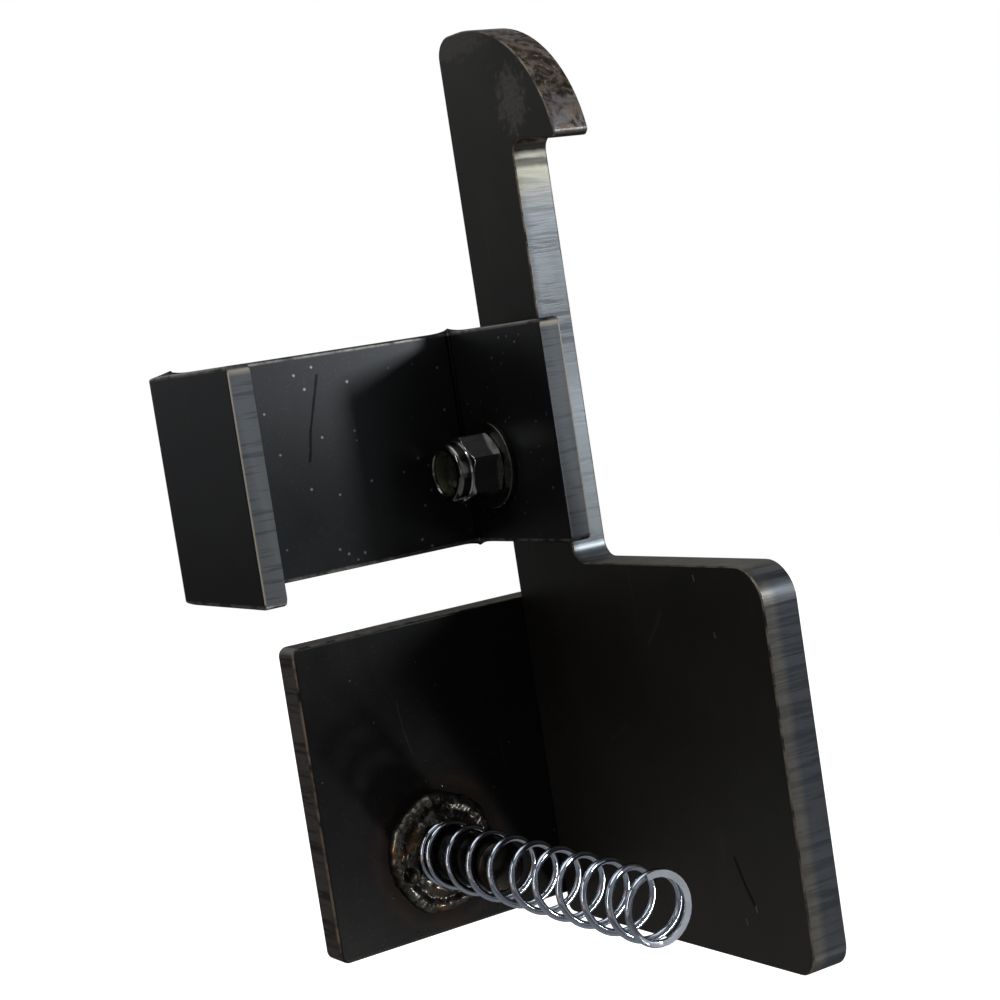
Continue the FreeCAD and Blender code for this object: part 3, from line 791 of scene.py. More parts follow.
@dataclass(frozen=True)
class WeldFinish:
    """Weld metal: bright grey crests, dark hollows and straw to blue heat tint."""

    name: str
    crest: Colour = (0.1, 0.094, 0.08)
    hollow: Colour = (0.022, 0.02, 0.016)
    straw: Colour = (0.11, 0.055, 0.022)
    blue: Colour = (0.035, 0.04, 0.055)
    bright: Colour = (0.4, 0.38, 0.33)

    def build(self, effects: Effects) -> bpy.types.Material:
        """Make the material.

        Args:
            effects: The shared groups.

        Returns:
            The material.
        """
        material, g, surface, place = new_material(self.name)
        clouds = g.step(g.noise(place, 300.0, 5.0, 0.6), 0.38, 0.64)
        colour = g.mix(clouds, self.hollow, self.crest)
        shine = g.step(g.noise(place, 620.0, 3.0, 0.6), 0.6, 0.7)
        colour = g.tint(colour, shine, 0.7, self.bright)
        tint = g.step(g.noise(place, 110.0, 2.0, 0.5, 0.8), 0.52, 0.66)
        colour = g.tint(colour, tint, 0.6, self.straw)
        tint = g.step(g.noise(place, 95.0, 2.0, 0.5, 1.4), 0.55, 0.7)
        colour = g.tint(colour, tint, 0.5, self.blue)
        slag = g.group(effects.specks, Vector=place, Scale=600.0, Size=0.3, Share=0.2).outputs[0]
        g.feed(surface.inputs["Base Color"], g.mix(slag, colour, (0.015, 0.013, 0.012)))
        g.feed(surface.inputs["Roughness"], g.step(clouds, 0.0, 1.0, 0.36, 0.2))
        surface.inputs["Metallic"].default_value = 0.9
        roughen(g, surface, g.noise(place, 900.0, 3.0, 0.55), 0.03 * MM)
        return material


@dataclass(frozen=True)
class NylonFinish:
    """Dull olive nylon of the locking ring."""

    name: str
    colour: Colour = (0.03, 0.031, 0.014)

    def build(self, effects: Effects) -> bpy.types.Material:
        """Make the material.

        Args:
            effects: The shared groups.

        Returns:
            The material.
        """
        material, g, surface, place = new_material(self.name)
        clouds = g.step(g.noise(place, 500.0, 4.0), 0.35, 0.65)
        dust = g.group(effects.specks, Vector=place, Scale=1400.0, Size=0.2, Share=0.15).outputs[0]
        colour = g.mix(clouds, self.colour, tuple(1.7 * part for part in self.colour))
        g.feed(surface.inputs["Base Color"], g.tint(colour, dust, 0.5, (0.15, 0.14, 0.1)))
        g.feed(surface.inputs["Roughness"], g.step(clouds, 0.0, 1.0, 0.3, 0.45))
        surface.inputs["Subsurface Weight"].default_value = 0.1
        surface.inputs["Subsurface Scale"].default_value = 0.5 * MM
        roughen(g, surface, g.noise(place, 2500.0, 3.0), 0.01 * MM)
        return material


class Finishes:
    """All the materials of the latch, made once."""

    def __init__(self) -> None:
        """Make every material."""
        effects = Effects()
        lever_low, lever_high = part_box("hook_lever")
        push_low, push_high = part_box("push_plate")
        strip_low, strip_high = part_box("mount_bracket")
        self.lever = LeverFinish("lever_plate", Axis.X, lever_low.x, lever_high.x).build(effects)
        weld_low, weld_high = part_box("stub_weld")
        weld_at = ((weld_low.x + weld_high.x) / 2, weld_low.y, (weld_low.z + weld_high.z) / 2)
        self.push = PushFinish(
            "push_plate_scale", Axis.Y, push_low.y, push_high.y, bevel=0.7 * MM,
            dark=(0.0125, 0.0127, 0.0131), light=(0.0175, 0.0174, 0.0172),
            edge_dark=(0.03, 0.027, 0.023), edge_light=(0.1, 0.09, 0.078), dust=0.03,
            weld_at=weld_at, weld_radius=(weld_high.x - weld_low.x) / 2).build(effects)
        thick = -2 * strip_low.x
        self.strip = StripFinish(
            "bracket_strip", Axis.Z, strip_low.z, strip_high.z, bevel=0.7 * MM,
            dark=(0.018, 0.0188, 0.0202), light=(0.022, 0.023, 0.0245), scratched=0.04, dust=0.2,
            edge_dark=(0.06, 0.065, 0.07), edge_light=(0.1, 0.108, 0.115), arris=(0.13, 0.128, 0.12),
            edge_gloss=(0.55, 0.6), cut_axis=Axis.X, end=strip_high.y,
            middle=(strip_low.x + strip_high.x) / 2, inside=(strip_high.x - strip_low.x) / 2 - thick,
            web=strip_low.y + thick).build(effects)
        self.weld = WeldFinish("weld_metal").build(effects)
        self.zinc = MetalFinish("bright_zinc", (0.42, 0.425, 0.44), (0.12, 0.1, 0.075),
                                (0.1, 0.18)).build(effects)
        # Painted shade: a darker copy of the zinc for the nut's crimped collar.
        self.collar = MetalFinish("collar_zinc_painted_shade", (0.17, 0.168, 0.16), (0.05, 0.045, 0.035),
                                  (0.12, 0.2)).build(effects)
        # Dull zinc, darkened partly as painted shade for the bolt end sunk in the nut.
        self.dull_zinc_painted_shade = MetalFinish("dull_zinc_painted_shade", (0.3, 0.3, 0.3), (0.1, 0.09, 0.07),
                                     (0.2, 0.36)).build(effects)
        self.washer = MetalFinish("olive_washer", (0.085, 0.082, 0.068), (0.055, 0.052, 0.04),
                                  (0.26, 0.36)).build(effects)
        self.rod = MetalFinish("black_rod", (0.022, 0.02, 0.016), (0.01, 0.009, 0.007),
                               (0.25, 0.4)).build(effects)
        self.steel = MetalFinish("bright_steel", (0.3, 0.3, 0.3), (0.07, 0.06, 0.05),
                                 (0.25, 0.4)).build(effects)
        self.wire = MetalFinish("spring_wire", (0.44, 0.49, 0.57), (0.2, 0.15, 0.12),
                                (0.06, 0.13), 0.2).build(effects)
        self.ground = MetalFinish("ground_wire", (0.42, 0.45, 0.5), (0.25, 0.24, 0.23), (0.34, 0.5), 0.3,
                                  grain_scale=2600.0, depth=0.02 * MM).build(effects)
        self.nylon = NylonFinish("olive_nylon").build(effects)


def paint(node: str, material: bpy.types.Material) -> None:
    """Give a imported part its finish.

    Args:
        node: The part's node name.
        material: The finish.
    """
    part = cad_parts[node]
    if not part.material_slots:
        part.data.materials.append(material)
    for place in part.material_slots:
        place.material = material
    LOG.info("%s: packed part, finish %s", node, material.name)


def place_piece(name: str, mesh: bpy.types.Mesh, body: Body, stands_for: Sequence[str],
                crease: float = 35.0) -> bpy.types.Object:
    """Put a finished mesh in the scene.

    Args:
        name: The piece's name.
        mesh: Its mesh, in its place.
        body: The body that it rides on.
        stands_for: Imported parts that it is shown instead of.
        crease: Edges sharper than this many degrees stay sharp.

    Returns:
        The piece.
    """
    piece = bpy.data.objects.new(name, mesh)
    mesh.name = name
    bpy.context.collection.objects.link(piece)
    mesh.shade_smooth()
    mesh.set_sharp_from_angle(angle=math.radians(crease))
    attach(piece, body.value)
    if stands_for:
        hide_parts(*stands_for)
    LOG.info("%s: %d faces on %s, for %s", name, len(mesh.polygons), body.value,
             ", ".join(stands_for) or "itself")
    return piece


def grow(tree: bpy.types.NodeTree, inputs: dict[str, object]) -> bpy.types.Mesh:
    """Run a geometry tree and keep what it makes as a plain mesh.

    Args:
        tree: The tree.
        inputs: Values for its named inputs.

    Returns:
        The mesh.
    """
    holder = bpy.data.objects.new(tree.name, bpy.data.meshes.new(tree.name))
    bpy.context.collection.objects.link(holder)
    modifier = holder.modifiers.new("grow", "NODES")
    modifier.node_group = tree
    for item in tree.interface.items_tree:
        if item.item_type == "SOCKET" and item.in_out == "INPUT" and item.name in inputs:
            modifier[item.identifier] = inputs[item.name]
    evaluated = holder.evaluated_get(bpy.context.evaluated_depsgraph_get())
    mesh = bpy.data.meshes.new_from_object(evaluated)
    bpy.data.objects.remove(holder)
    return mesh


def skin(shape: bmesh.types.BMesh, loops: list[list[bmesh.types.BMVert]], joined: bool) -> None:
    """Join loops of points with four-sided faces.

    Args:
        shape: Where the faces go.
        loops: The loops in order, all with as many points.
        joined: Whether the last loop also meets the first.
    """
    for near, far in zip(loops, loops[1:] + (loops[:1] if joined else [])):
        for step in range(len(near)):
            after = (step + 1) % len(near)
            shape.faces.new((near[step], near[after], far[after], far[step]))


def keep(shape: bmesh.types.BMesh, name: str, *materials: bpy.types.Material) -> bpy.types.Mesh:
    """Turn a shape into a mesh and let go of the shape.

    Args:
        shape: The shape.
        name: The mesh's name.
        *materials: Its finishes, by the faces' numbers.

    Returns:
        The mesh.
    """
    mesh = bpy.data.meshes.new(name)
    shape.to_mesh(mesh)
    shape.free()
    for material in materials:
        mesh.materials.append(material)
    return mesh


# ---- Return spring ----
@dataclass
class ReturnSpring:
    """The coil spring that stands on the push plate and presses on the gate stile."""

    wire: float = 1.6 * MM
    flat_pitch: float = 1.7 * MM
    tip_level: float = -0.4 * MM
    open_turns: float = 8.8
    closed_turns: float = 1.15
    easing: float = 0.25
    free_end: float = math.radians(15)
    steps_in_turn: int = 40
    sides: int = 14

    def tree(self) -> bpy.types.NodeTree:
        """Geometry tree that winds the wire about +Y from the origin."""
        g, take, give = new_group(
            "wound_wire", "GeometryNodeTree",
            [("Turns", "Float", 11.1), ("Closed", "Float", 1.15), ("Easing", "Float", 0.25),
             ("Coil Radius", "Float", 0.0072), ("Wire Radius", "Float", 0.0008), ("Pitch", "Float", 0.009),
             ("Flat Pitch", "Float", 0.00175), ("Tip Level", "Float", 0.0), ("Start Angle", "Float", 0.0),
             ("Steps", "Int", 440), ("Sides", "Int", 14), ("Finish", "Material", None)],
            [("Geometry", "Geometry")])
        line = g.add("GeometryNodeCurvePrimitiveLine")
        points = g.add("GeometryNodeResampleCurve", {"Curve": line.outputs[0], "Count": take["Steps"]})
        turn = g.times(g.add("GeometryNodeSplineParameter").outputs["Factor"], take["Turns"])
        angle = g.math("MULTIPLY_ADD", turn, math.tau, take["Start Angle"])

        def opened(distance: Socket) -> Socket:
            """Open turns so far past a point where the pitch changes smoothly."""
            easing = take["Easing"]
            near = g.math("MINIMUM", g.math("MAXIMUM", distance, g.times(easing, -1.0)), easing)
            square = g.math("POWER", g.math("ADD", near, easing), 2.0)
            share = g.math("DIVIDE", square, g.times(easing, 4.0))
            return g.math("ADD", share, g.math("MAXIMUM", g.math("SUBTRACT", distance, easing), 0.0))

        last = g.math("SUBTRACT", turn, g.math("SUBTRACT", take["Turns"], take["Closed"]))
        spread = g.math("SUBTRACT", opened(g.math("SUBTRACT", turn, take["Closed"])), opened(last))
        rise = g.times(spread, g.math("SUBTRACT", take["Pitch"], take["Flat Pitch"]))
        rise = g.math("ADD", rise, g.math("MULTIPLY_ADD", turn, take["Flat Pitch"], take["Tip Level"]))
        spot = g.add("ShaderNodeCombineXYZ", {
            0: g.times(g.math("SINE", angle), take["Coil Radius"]), 1: rise,
            2: g.times(g.math("COSINE", angle), take["Coil Radius"])})
        wound = g.add("GeometryNodeSetPosition", {"Geometry": points.outputs[0], "Position": spot.outputs[0]})
        section = g.add("GeometryNodeCurvePrimitiveCircle", {
            "Resolution": take["Sides"], "Radius": take["Wire Radius"]})
        swept = g.add("GeometryNodeCurveToMesh", {
            "Curve": wound.outputs[0], "Profile Curve": section.outputs[0], "Fill Caps": True})
        return finish_instances(g, swept.outputs[0], take["Finish"], give)

    def build(self, finishes: Finishes) -> bpy.types.Object:
        """Wind the wire, grind both ends flat and put the spring in its place.

        Args:
            finishes: The materials.

        Returns:
            The piece.
        """
        low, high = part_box("return_spring")
        coil_radius = (high.x - low.x - self.wire) / 2
        turns = self.open_turns + 2 * self.closed_turns
        rise = high.y - low.y - 2 * self.tip_level
        pitch = (rise - turns * self.flat_pitch) / self.open_turns + self.flat_pitch
        mesh = grow(self.tree(), {
            "Turns": turns, "Closed": self.closed_turns, "Easing": self.easing,
            "Coil Radius": coil_radius, "Wire Radius": self.wire / 2, "Pitch": pitch,
            "Flat Pitch": self.flat_pitch, "Tip Level": self.tip_level,
            "Start Angle": self.free_end - math.tau * turns, "Steps": int(turns * self.steps_in_turn),
            "Sides": self.sides, "Finish": finishes.wire})
        mesh.materials.append(finishes.ground)
        centre = (low + high) / 2
        mesh.transform(Matrix.Translation((centre.x, low.y, centre.z)))
        self.grind(mesh, low.y, high.y)
        return place_piece("wound_spring", mesh, Body.LEVER, ["return_spring"])

    @staticmethod
    def grind(mesh: bpy.types.Mesh, start: float, end: float) -> None:
        """Cut the mesh off flat at two levels along Y and close the cuts.

        Args:
            mesh: The wound wire.
            start: Lower level.
            end: Upper level.
        """
        shape = bmesh.new()
        shape.from_mesh(mesh)
        for level, outward in ((start, -1.0), (end, 1.0)):
            cut = bmesh.ops.bisect_plane(
                shape, geom=shape.verts[:] + shape.edges[:] + shape.faces[:], dist=1e-7,
                plane_co=(0.0, level, 0.0), plane_no=(0.0, outward, 0.0), clear_outer=True)
            rim = [item for item in cut["geom_cut"] if isinstance(item, bmesh.types.BMEdge)]
            filled = bmesh.ops.triangle_fill(shape, edges=rim, use_beauty=True, use_dissolve=False)
            for item in filled["geom"]:
                if isinstance(item, bmesh.types.BMFace):
                    item.material_index = 1
        bmesh.ops.recalc_face_normals(shape, faces=shape.faces)
        shape.to_mesh(mesh)
        shape.free()


# ---- Welds ----
@dataclass
class WeldBead:
    """A run of overlapping ripples, melted into one lumpy bead."""

    voxel: float = 0.32 * MM
    seed: int = 4

    def tree(self) -> bpy.types.NodeTree:
        """Geometry tree that lays ripples along a line up Z."""
        g, take, give = new_group(
            "line_of_ripples", "GeometryNodeTree",
            [("Count", "Int", 30), ("Length", "Float", 0.02),
             ("Ripple", "Vector", (0.003, 0.002, 0.002)), ("Jitter", "Float", 0.0006), ("Seed", "Int", 1),
             ("Finish", "Material", None)],
            [("Geometry", "Geometry")])
        end = g.add("ShaderNodeCombineXYZ", {2: take["Length"]})
        line = g.add("GeometryNodeCurvePrimitiveLine", {"End": end.outputs[0]})
        points = g.add("GeometryNodeCurveToPoints", {"Curve": line.outputs[0], "Count": take["Count"]})
        wander = g.add("FunctionNodeRandomValue", {"Seed": take["Seed"]}, data_type="FLOAT_VECTOR")
        g.feed(wander.inputs[0], (-1.0, -0.35, -1.0))
        g.feed(wander.inputs[1], (1.0, 0.35, 1.0))
        shift = g.add("ShaderNodeVectorMath", {0: wander.outputs[0]}, operation="SCALE")
        g.feed(shift.inputs["Scale"], take["Jitter"])
        moved = g.add("GeometryNodeSetPosition", {"Geometry": points.outputs[0], "Offset": shift.outputs[0]})
        ball = g.add("GeometryNodeMeshIcoSphere", {"Radius": 1.0, "Subdivisions": 3})
        ripple = g.add("GeometryNodeTransform", {"Geometry": ball.outputs[0], "Scale": take["Ripple"]})
        size = g.add("FunctionNodeRandomValue", {"Seed": g.math("ADD", take["Seed"], 7.0)}, data_type="FLOAT")
        g.feed(size.inputs[2], 0.78)
        g.feed(size.inputs[3], 1.18)
        spread = g.add("GeometryNodeInstanceOnPoints", {
            "Points": moved.outputs[0], "Instance": ripple.outputs[0], "Scale": size.outputs[1]})
        return finish_instances(g, spread.outputs[0], take["Finish"], give)

    def melt(self, mesh: bpy.types.Mesh, roughness: float) -> bpy.types.Mesh:
        """Run the ripples together, soften them and give them a little unevenness.

        Args:
            mesh: The ripples, in their place.
            roughness: How far the surface strays, in metres.

        Returns:
            The bead's mesh.
        """
        holder = bpy.data.objects.new("melting", mesh)
        bpy.context.collection.objects.link(holder)
        fuse = holder.modifiers.new("fuse", "REMESH")
        fuse.mode, fuse.voxel_size = "VOXEL", self.voxel
        soften = holder.modifiers.new("soften", "SMOOTH")
        soften.iterations, soften.factor = 2, 0.5
        cloud = bpy.data.textures.new("weld_cloud", "CLOUDS")
        cloud.noise_scale, cloud.noise_depth = 1.6 * MM, 3
        uneven = holder.modifiers.new("uneven", "DISPLACE")
        uneven.texture, uneven.strength, uneven.mid_level = cloud, roughness, 0.5
        evaluated = holder.evaluated_get(bpy.context.evaluated_depsgraph_get())
        melted = bpy.data.meshes.new_from_object(evaluated)
        bpy.data.objects.remove(holder)
        return melted


@dataclass
class SeamWeld(WeldBead):
    """One stitch between the push plate's edge and the lever's back edge."""

    node: str = "seam_weld_upper"
    pitch: float = 1.3 * MM
    ripple: tuple[float, float, float] = (1.45 * MM, 1.45 * MM, 1.0 * MM)
    jitter: float = 0.2 * MM
    inset: float = 0.95 * MM
    roughness: float = 0.25 * MM

    def build(self, finishes: Finishes) -> bpy.types.Object:
        """Lay the ripples along the corner and melt them.

        Args:
            finishes: The materials.

        Returns:
            The piece.
        """
        low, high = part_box(self.node)
        run = high.z - low.z - 2 * self.ripple[2]
        mesh = grow(self.tree(), {
            "Count": int(run / self.pitch), "Length": run, "Jitter": self.jitter, "Seed": self.seed,
            "Ripple": self.ripple, "Finish": finishes.weld})
        spot = (high.x - self.inset, high.y - self.inset, low.z + self.ripple[2])
        mesh.transform(Matrix.Translation(spot))
        return place_piece(f"{self.node}_bead", self.melt(mesh, self.roughness), Body.LEVER,
                           [self.node], 60.0)


@dataclass
class StubWeld:
    """The weld round the spring's stub: a low mound with a raised toe, ripples and a crater."""

    steps_round: int = 288
    steps_out: int = 46
    ripples: int = 31
    ripple_height: float = 0.07 * MM
    crater_at: tuple[float, float] = (10.8 * MM, -2.6 * MM)
    crater_radius: float = 1.5 * MM
    crater_depth: float = 1.3 * MM
    lump: float = 0.5 * MM
    sunk: float = 0.3 * MM

    def toe(self, angle: float, radius: float) -> float:
        """Distance of the weld's toe from the stub's axis in one direction."""
        wander = noise.noise(Vector((math.cos(angle) * 1.7, math.sin(angle) * 1.7, 3.1)))
        fine = noise.noise(Vector((math.cos(angle) * 7.0, math.sin(angle) * 7.0, 8.4)))
        return radius * (0.955 + 0.05 * wander + 0.025 * fine)

    def height(self, across: float, up: float, share: float, full: float) -> float:
        """Height of the weld over the plate.

        Args:
            across: Distance from the stub's axis along X.
            up: Distance from the stub's axis along Z.
            share: Way from the stub, 0, to the toe, 1.
            full: Height where the spring sits.

        Returns:
            The height in metres.
        """
        mound = math.sqrt(max(0.0, 1.0 - max(0.0, (share - 0.3) / 0.7) ** 2.2))
        body = full * mound * (0.94 - 0.3 * math.exp(-((share - 0.55) / 0.16) ** 2))
        angle = math.atan2(up, across)
        edge = math.exp(-((share - 0.72) / 0.2) ** 2)
        body += self.ripple_height * edge * math.sin(angle * self.ripples + 2.6 * share + 2.0 * noise.noise(
            Vector((across, up, 0.0)) * 160))
        lumps = noise.fractal(Vector((across, up, 0.01)) * 240, 1.0, 2.0, 3)
        body += self.lump * lumps * min(1.0, share * 3.0) * mound
        off = math.hypot(across - self.crater_at[0], up - self.crater_at[1]) / self.crater_radius
        crater = 0.75 * math.exp(-((off - 1.35) / 0.5) ** 2) - math.exp(-off * off * 1.6)
        body += self.crater_depth * crater * mound
        limit = full if share < 0.33 else full * 1.1
        return max(-0.2 * MM, min(body, limit)) if share < 0.999 else -self.sunk

    def build(self, finishes: Finishes) -> bpy.types.Object:
        """Shape the mound as rings of points round the stub.

        Args:
            finishes: The materials.

        Returns:
            The piece.
        """
        low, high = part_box("stub_weld")
        stub_low, stub_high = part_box("spring_stub")
        centre, full = (low + high) / 2, high.y - low.y
        inner, outer = (stub_high.x - stub_low.x) / 2 - 0.2 * MM, (high.x - low.x) / 2
        shape = bmesh.new()
        rings = []
        for out in range(self.steps_out + 1):
            share = (out / self.steps_out) ** 0.9
            ring = []
            for step in range(self.steps_round):
                angle = math.tau * step / self.steps_round
                radius = inner + (self.toe(angle, outer) - inner) * share
                across, up = radius * math.cos(angle), radius * math.sin(angle)
                rise = self.height(across, up, share, full)
                ring.append(shape.verts.new((centre.x + across, low.y + rise, centre.z + up)))
            rings.append(ring)
        rings.insert(0, [shape.verts.new((spot.co.x, low.y - self.sunk, spot.co.z)) for spot in rings[0]])
        skin(shape, rings, joined=True)
        bmesh.ops.recalc_face_normals(shape, faces=shape.faces)
        mesh = keep(shape, "stub_bead", finishes.weld)
        return place_piece("stub_bead", mesh, Body.LEVER, ["stub_weld"], 70.0)


@dataclass
class Spatter:
    """Beads of spatter stuck to the push plate round the stub's weld."""

    reach: float = 23 * MM
    density: float = 21000.0
    smallest: float = 0.12 * MM
    largest: float = 0.5 * MM
    overlap: float = 0.5 * MM
    seed: int = 12

    def tree(self) -> bpy.types.NodeTree:
        """Geometry tree that strews beads on a disc about Y, outside an inner circle."""
        g, take, give = new_group(
            "strewn_beads", "GeometryNodeTree",
            [("Reach", "Float", 0.02), ("Inside", "Float", 0.015), ("Density", "Float", 20000.0),
             ("Smallest", "Float", 0.0001), ("Largest", "Float", 0.0005), ("Seed", "Int", 1),
             ("Finish", "Material", None)],
            [("Geometry", "Geometry")])
        disc = g.add("GeometryNodeMeshCircle", {"Vertices": 64, "Radius": take["Reach"]}, fill_type="NGON")
        turned = g.add("GeometryNodeTransform", {
            "Geometry": disc.outputs[0], "Rotation": (math.pi / 2, 0.0, 0.0)})
        spots = g.add("GeometryNodeDistributePointsOnFaces", {
            "Mesh": turned.outputs[0], "Density": take["Density"], "Seed": take["Seed"]})
        far = g.vector("LENGTH", g.add("GeometryNodeInputPosition").outputs[0])
        inside = g.add("FunctionNodeCompare", {0: far, 1: take["Inside"]}, data_type="FLOAT",
                       operation="LESS_THAN")
        kept = g.add("GeometryNodeDeleteGeometry", {
            "Geometry": spots.outputs[0], "Selection": inside.outputs[0]}, domain="POINT")
        chance = g.add("FunctionNodeRandomValue", {"Seed": take["Seed"]}, data_type="FLOAT")
        g.feed(chance.inputs[2], 0.0)
        g.feed(chance.inputs[3], 1.0)
        size = g.math("MULTIPLY_ADD", g.math("POWER", chance.outputs[1], 3.0),
                      g.math("SUBTRACT", take["Largest"], take["Smallest"]), take["Smallest"])
        bead = g.add("GeometryNodeMeshIcoSphere", {"Radius": 1.0, "Subdivisions": 2})
        flat = g.add("GeometryNodeTransform", {"Geometry": bead.outputs[0], "Scale": (1.0, 0.6, 1.0)})
        spread = g.add("GeometryNodeInstanceOnPoints", {
            "Points": kept.outputs[0], "Instance": flat.outputs[0], "Scale": size})
        return finish_instances(g, spread.outputs[0], take["Finish"], give)

    def build(self, finishes: Finishes) -> bpy.types.Object:
        """Strew the beads.

        Args:
            finishes: The materials.

        Returns:
            The piece.
        """
        low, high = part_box("stub_weld")
        centre = (low + high) / 2
        mesh = grow(self.tree(), {
            "Reach": self.reach, "Inside": (high.x - low.x) / 2 - self.overlap, "Density": self.density,
            "Smallest": self.smallest, "Largest": self.largest, "Seed": self.seed, "Finish": finishes.weld})
        mesh.transform(Matrix.Translation((centre.x, low.y, centre.z)))
        return place_piece("weld_spatter", mesh, Body.LEVER, [], 60.0)


# ---- Bracket and fasteners ----
@dataclass
class BentBracket:
    """The strip bent to a U, with the swelling that the bends leave on its edges."""

    bend: float = 0.35 * MM
    edge_round: float = 0.5 * MM
    end_round: float = 1.2 * MM
    swell: float = 1.0 * MM
    swell_run: float = 3.2 * MM
    thin_out: float = 0.35
    finest: float = 0.4 * MM
    coarsest: float = 3.0 * MM
    hole_radius: float = 5.0 * MM

    def stations(self, thick: float, span: float, depth: float) -> list[tuple[Vector, Vector, float, float]]:
        """Places along the strip's middle line, from one flange end to the other.

        Args:
            thick: Thickness of the strip.
            span: Outside width over the flanges.
            depth: Outside depth from the web to the flange ends.

        Returns:
            Place and outward direction in the XY plane, distance to the nearer end, and distance
            to the nearer bend's middle, for each station.
        """
        radius = self.bend + thick / 2
        flange, web = depth - thick / 2 - radius, span - thick - 2 * radius
        arc = radius * math.pi / 2
        total = 2 * flange + 2 * arc + web
        marks, at = [0.0], 0.0
        bends = (flange + arc / 2, total - flange - arc / 2)
        while at < total / 2:
            near = min(at, abs(at - bends[0]) * 0.45)
            at += min(self.coarsest, max(self.finest, near * 0.35))
            marks.append(min(at, total / 2))
        marks += [total - mark for mark in reversed(marks[:-1])]
        found = []
        for mark in marks:
            along = mark if mark <= total / 2 else total - mark
            if along <= flange:
                place, out = Vector((0.0, -along)), Vector((-1.0, 0.0))
            elif along < flange + arc:
                turn = (along - flange) / radius
                out = Vector((-math.cos(turn), -math.sin(turn)))
                place = Vector((radius, -flange)) + out * radius
            else:
                place, out = Vector((radius + along - flange - arc, -flange - radius)), Vector((0.0, -1.0))
            if mark > total / 2:
                place.x, out.x = span - thick - place.x, -out.x
            found.append((place, out, min(mark, total - mark), min(abs(mark - bend) for bend in bends)))
        return found

    def section(self, thick: float, tall: float) -> list[tuple[float, float]]:
        """Outline of the strip's section, as shares across its thickness and heights.

        Args:
            thick: Thickness of the strip.
            tall: Width of the strip.

        Returns:
            Distance outwards from the middle and height, for each point.
        """
        inset_x, inset_z = thick / 2 - self.edge_round, tall / 2 - self.edge_round
        outline = []
        for quarter, (side_x, side_z) in enumerate(((1, 1), (-1, 1), (-1, -1), (1, -1))):
            for step in range(5):
                angle = math.pi / 2 * (quarter + step / 4)
                outline.append((side_x * inset_x + self.edge_round * math.cos(angle),
                                side_z * inset_z + self.edge_round * math.sin(angle)))
        return outline

    def build(self, finishes: Finishes) -> bpy.types.Object:
        """Sweep the section along the bent line and drill the bolt's hole.

        Args:
            finishes: The materials.

        Returns:
            The piece.
        """
        low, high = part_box("mount_bracket")
        ring_low, ring_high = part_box("pivot_spacer")
        thick, tall = -2 * low.x, high.z - low.z
        middle = (high.z + low.z) / 2
        outline = self.section(thick, tall)
        shape = bmesh.new()
        loops = []
        for place, out, to_end, to_bend in self.stations(thick, high.x - low.x, high.y - low.y):
            lost = 0.0
            if to_end < self.end_round:
                lost = self.end_round - math.sqrt(self.end_round ** 2 - (self.end_round - to_end) ** 2)
            swell = self.swell * math.exp(-(to_bend / self.swell_run) ** 2)
            loop = []
            for outward, up in outline:
                inner = 0.5 - outward / thick
                grown = swell * (inner ** 1.6 - self.thin_out * (1.0 - inner))
                share = (tall / 2 - lost + grown) / (tall / 2)
                spot = place + out * outward
                loop.append(shape.verts.new((spot.x, high.y + spot.y, middle + up * share)))
            loops.append(loop)
        skin(shape, loops, joined=False)
        for end in (loops[0], loops[-1]):
            shape.faces.new(end)
        bmesh.ops.recalc_face_normals(shape, faces=shape.faces)
        axis = (ring_low + ring_high) / 2
        drilled = self.drill(keep(shape, "bent_strip"), axis, self.hole_radius, 3 * thick)
        drilled.materials.append(finishes.strip)
        return place_piece("bent_bracket", drilled, Body.BRACKET, ["mount_bracket"],
                           26.0)

    @staticmethod
    def drill(mesh: bpy.types.Mesh, axis: Vector, radius: float, length: float) -> bpy.types.Mesh:
        """Cut a round hole along X through the flange next to the origin.

        Args:
            mesh: The strip.
            axis: A point on the hole's axis.
            radius: The hole's radius.
            length: Length of the cutter.

        Returns:
            The drilled strip.
        """
        cutter_shape = bmesh.new()
        across = Matrix.Translation((0.0, axis.y, axis.z)) @ Matrix.Rotation(math.pi / 2, 4, "Y")
        bmesh.ops.create_cone(cutter_shape, cap_ends=True, segments=64, radius1=radius, radius2=radius,
                              depth=length, matrix=across)
        cutter = bpy.data.objects.new("cutter", keep(cutter_shape, "cutter"))
        holder = bpy.data.objects.new("strip", mesh)
        for item in (cutter, holder):
            bpy.context.collection.objects.link(item)
        cut = holder.modifiers.new("hole", "BOOLEAN")
        cut.operation, cut.object, cut.solver = "DIFFERENCE", cutter, "EXACT"
        drilled = bpy.data.meshes.new_from_object(holder.evaluated_get(bpy.context.evaluated_depsgraph_get()))
        for item in (cutter, holder):
            bpy.data.objects.remove(item)
        return drilled


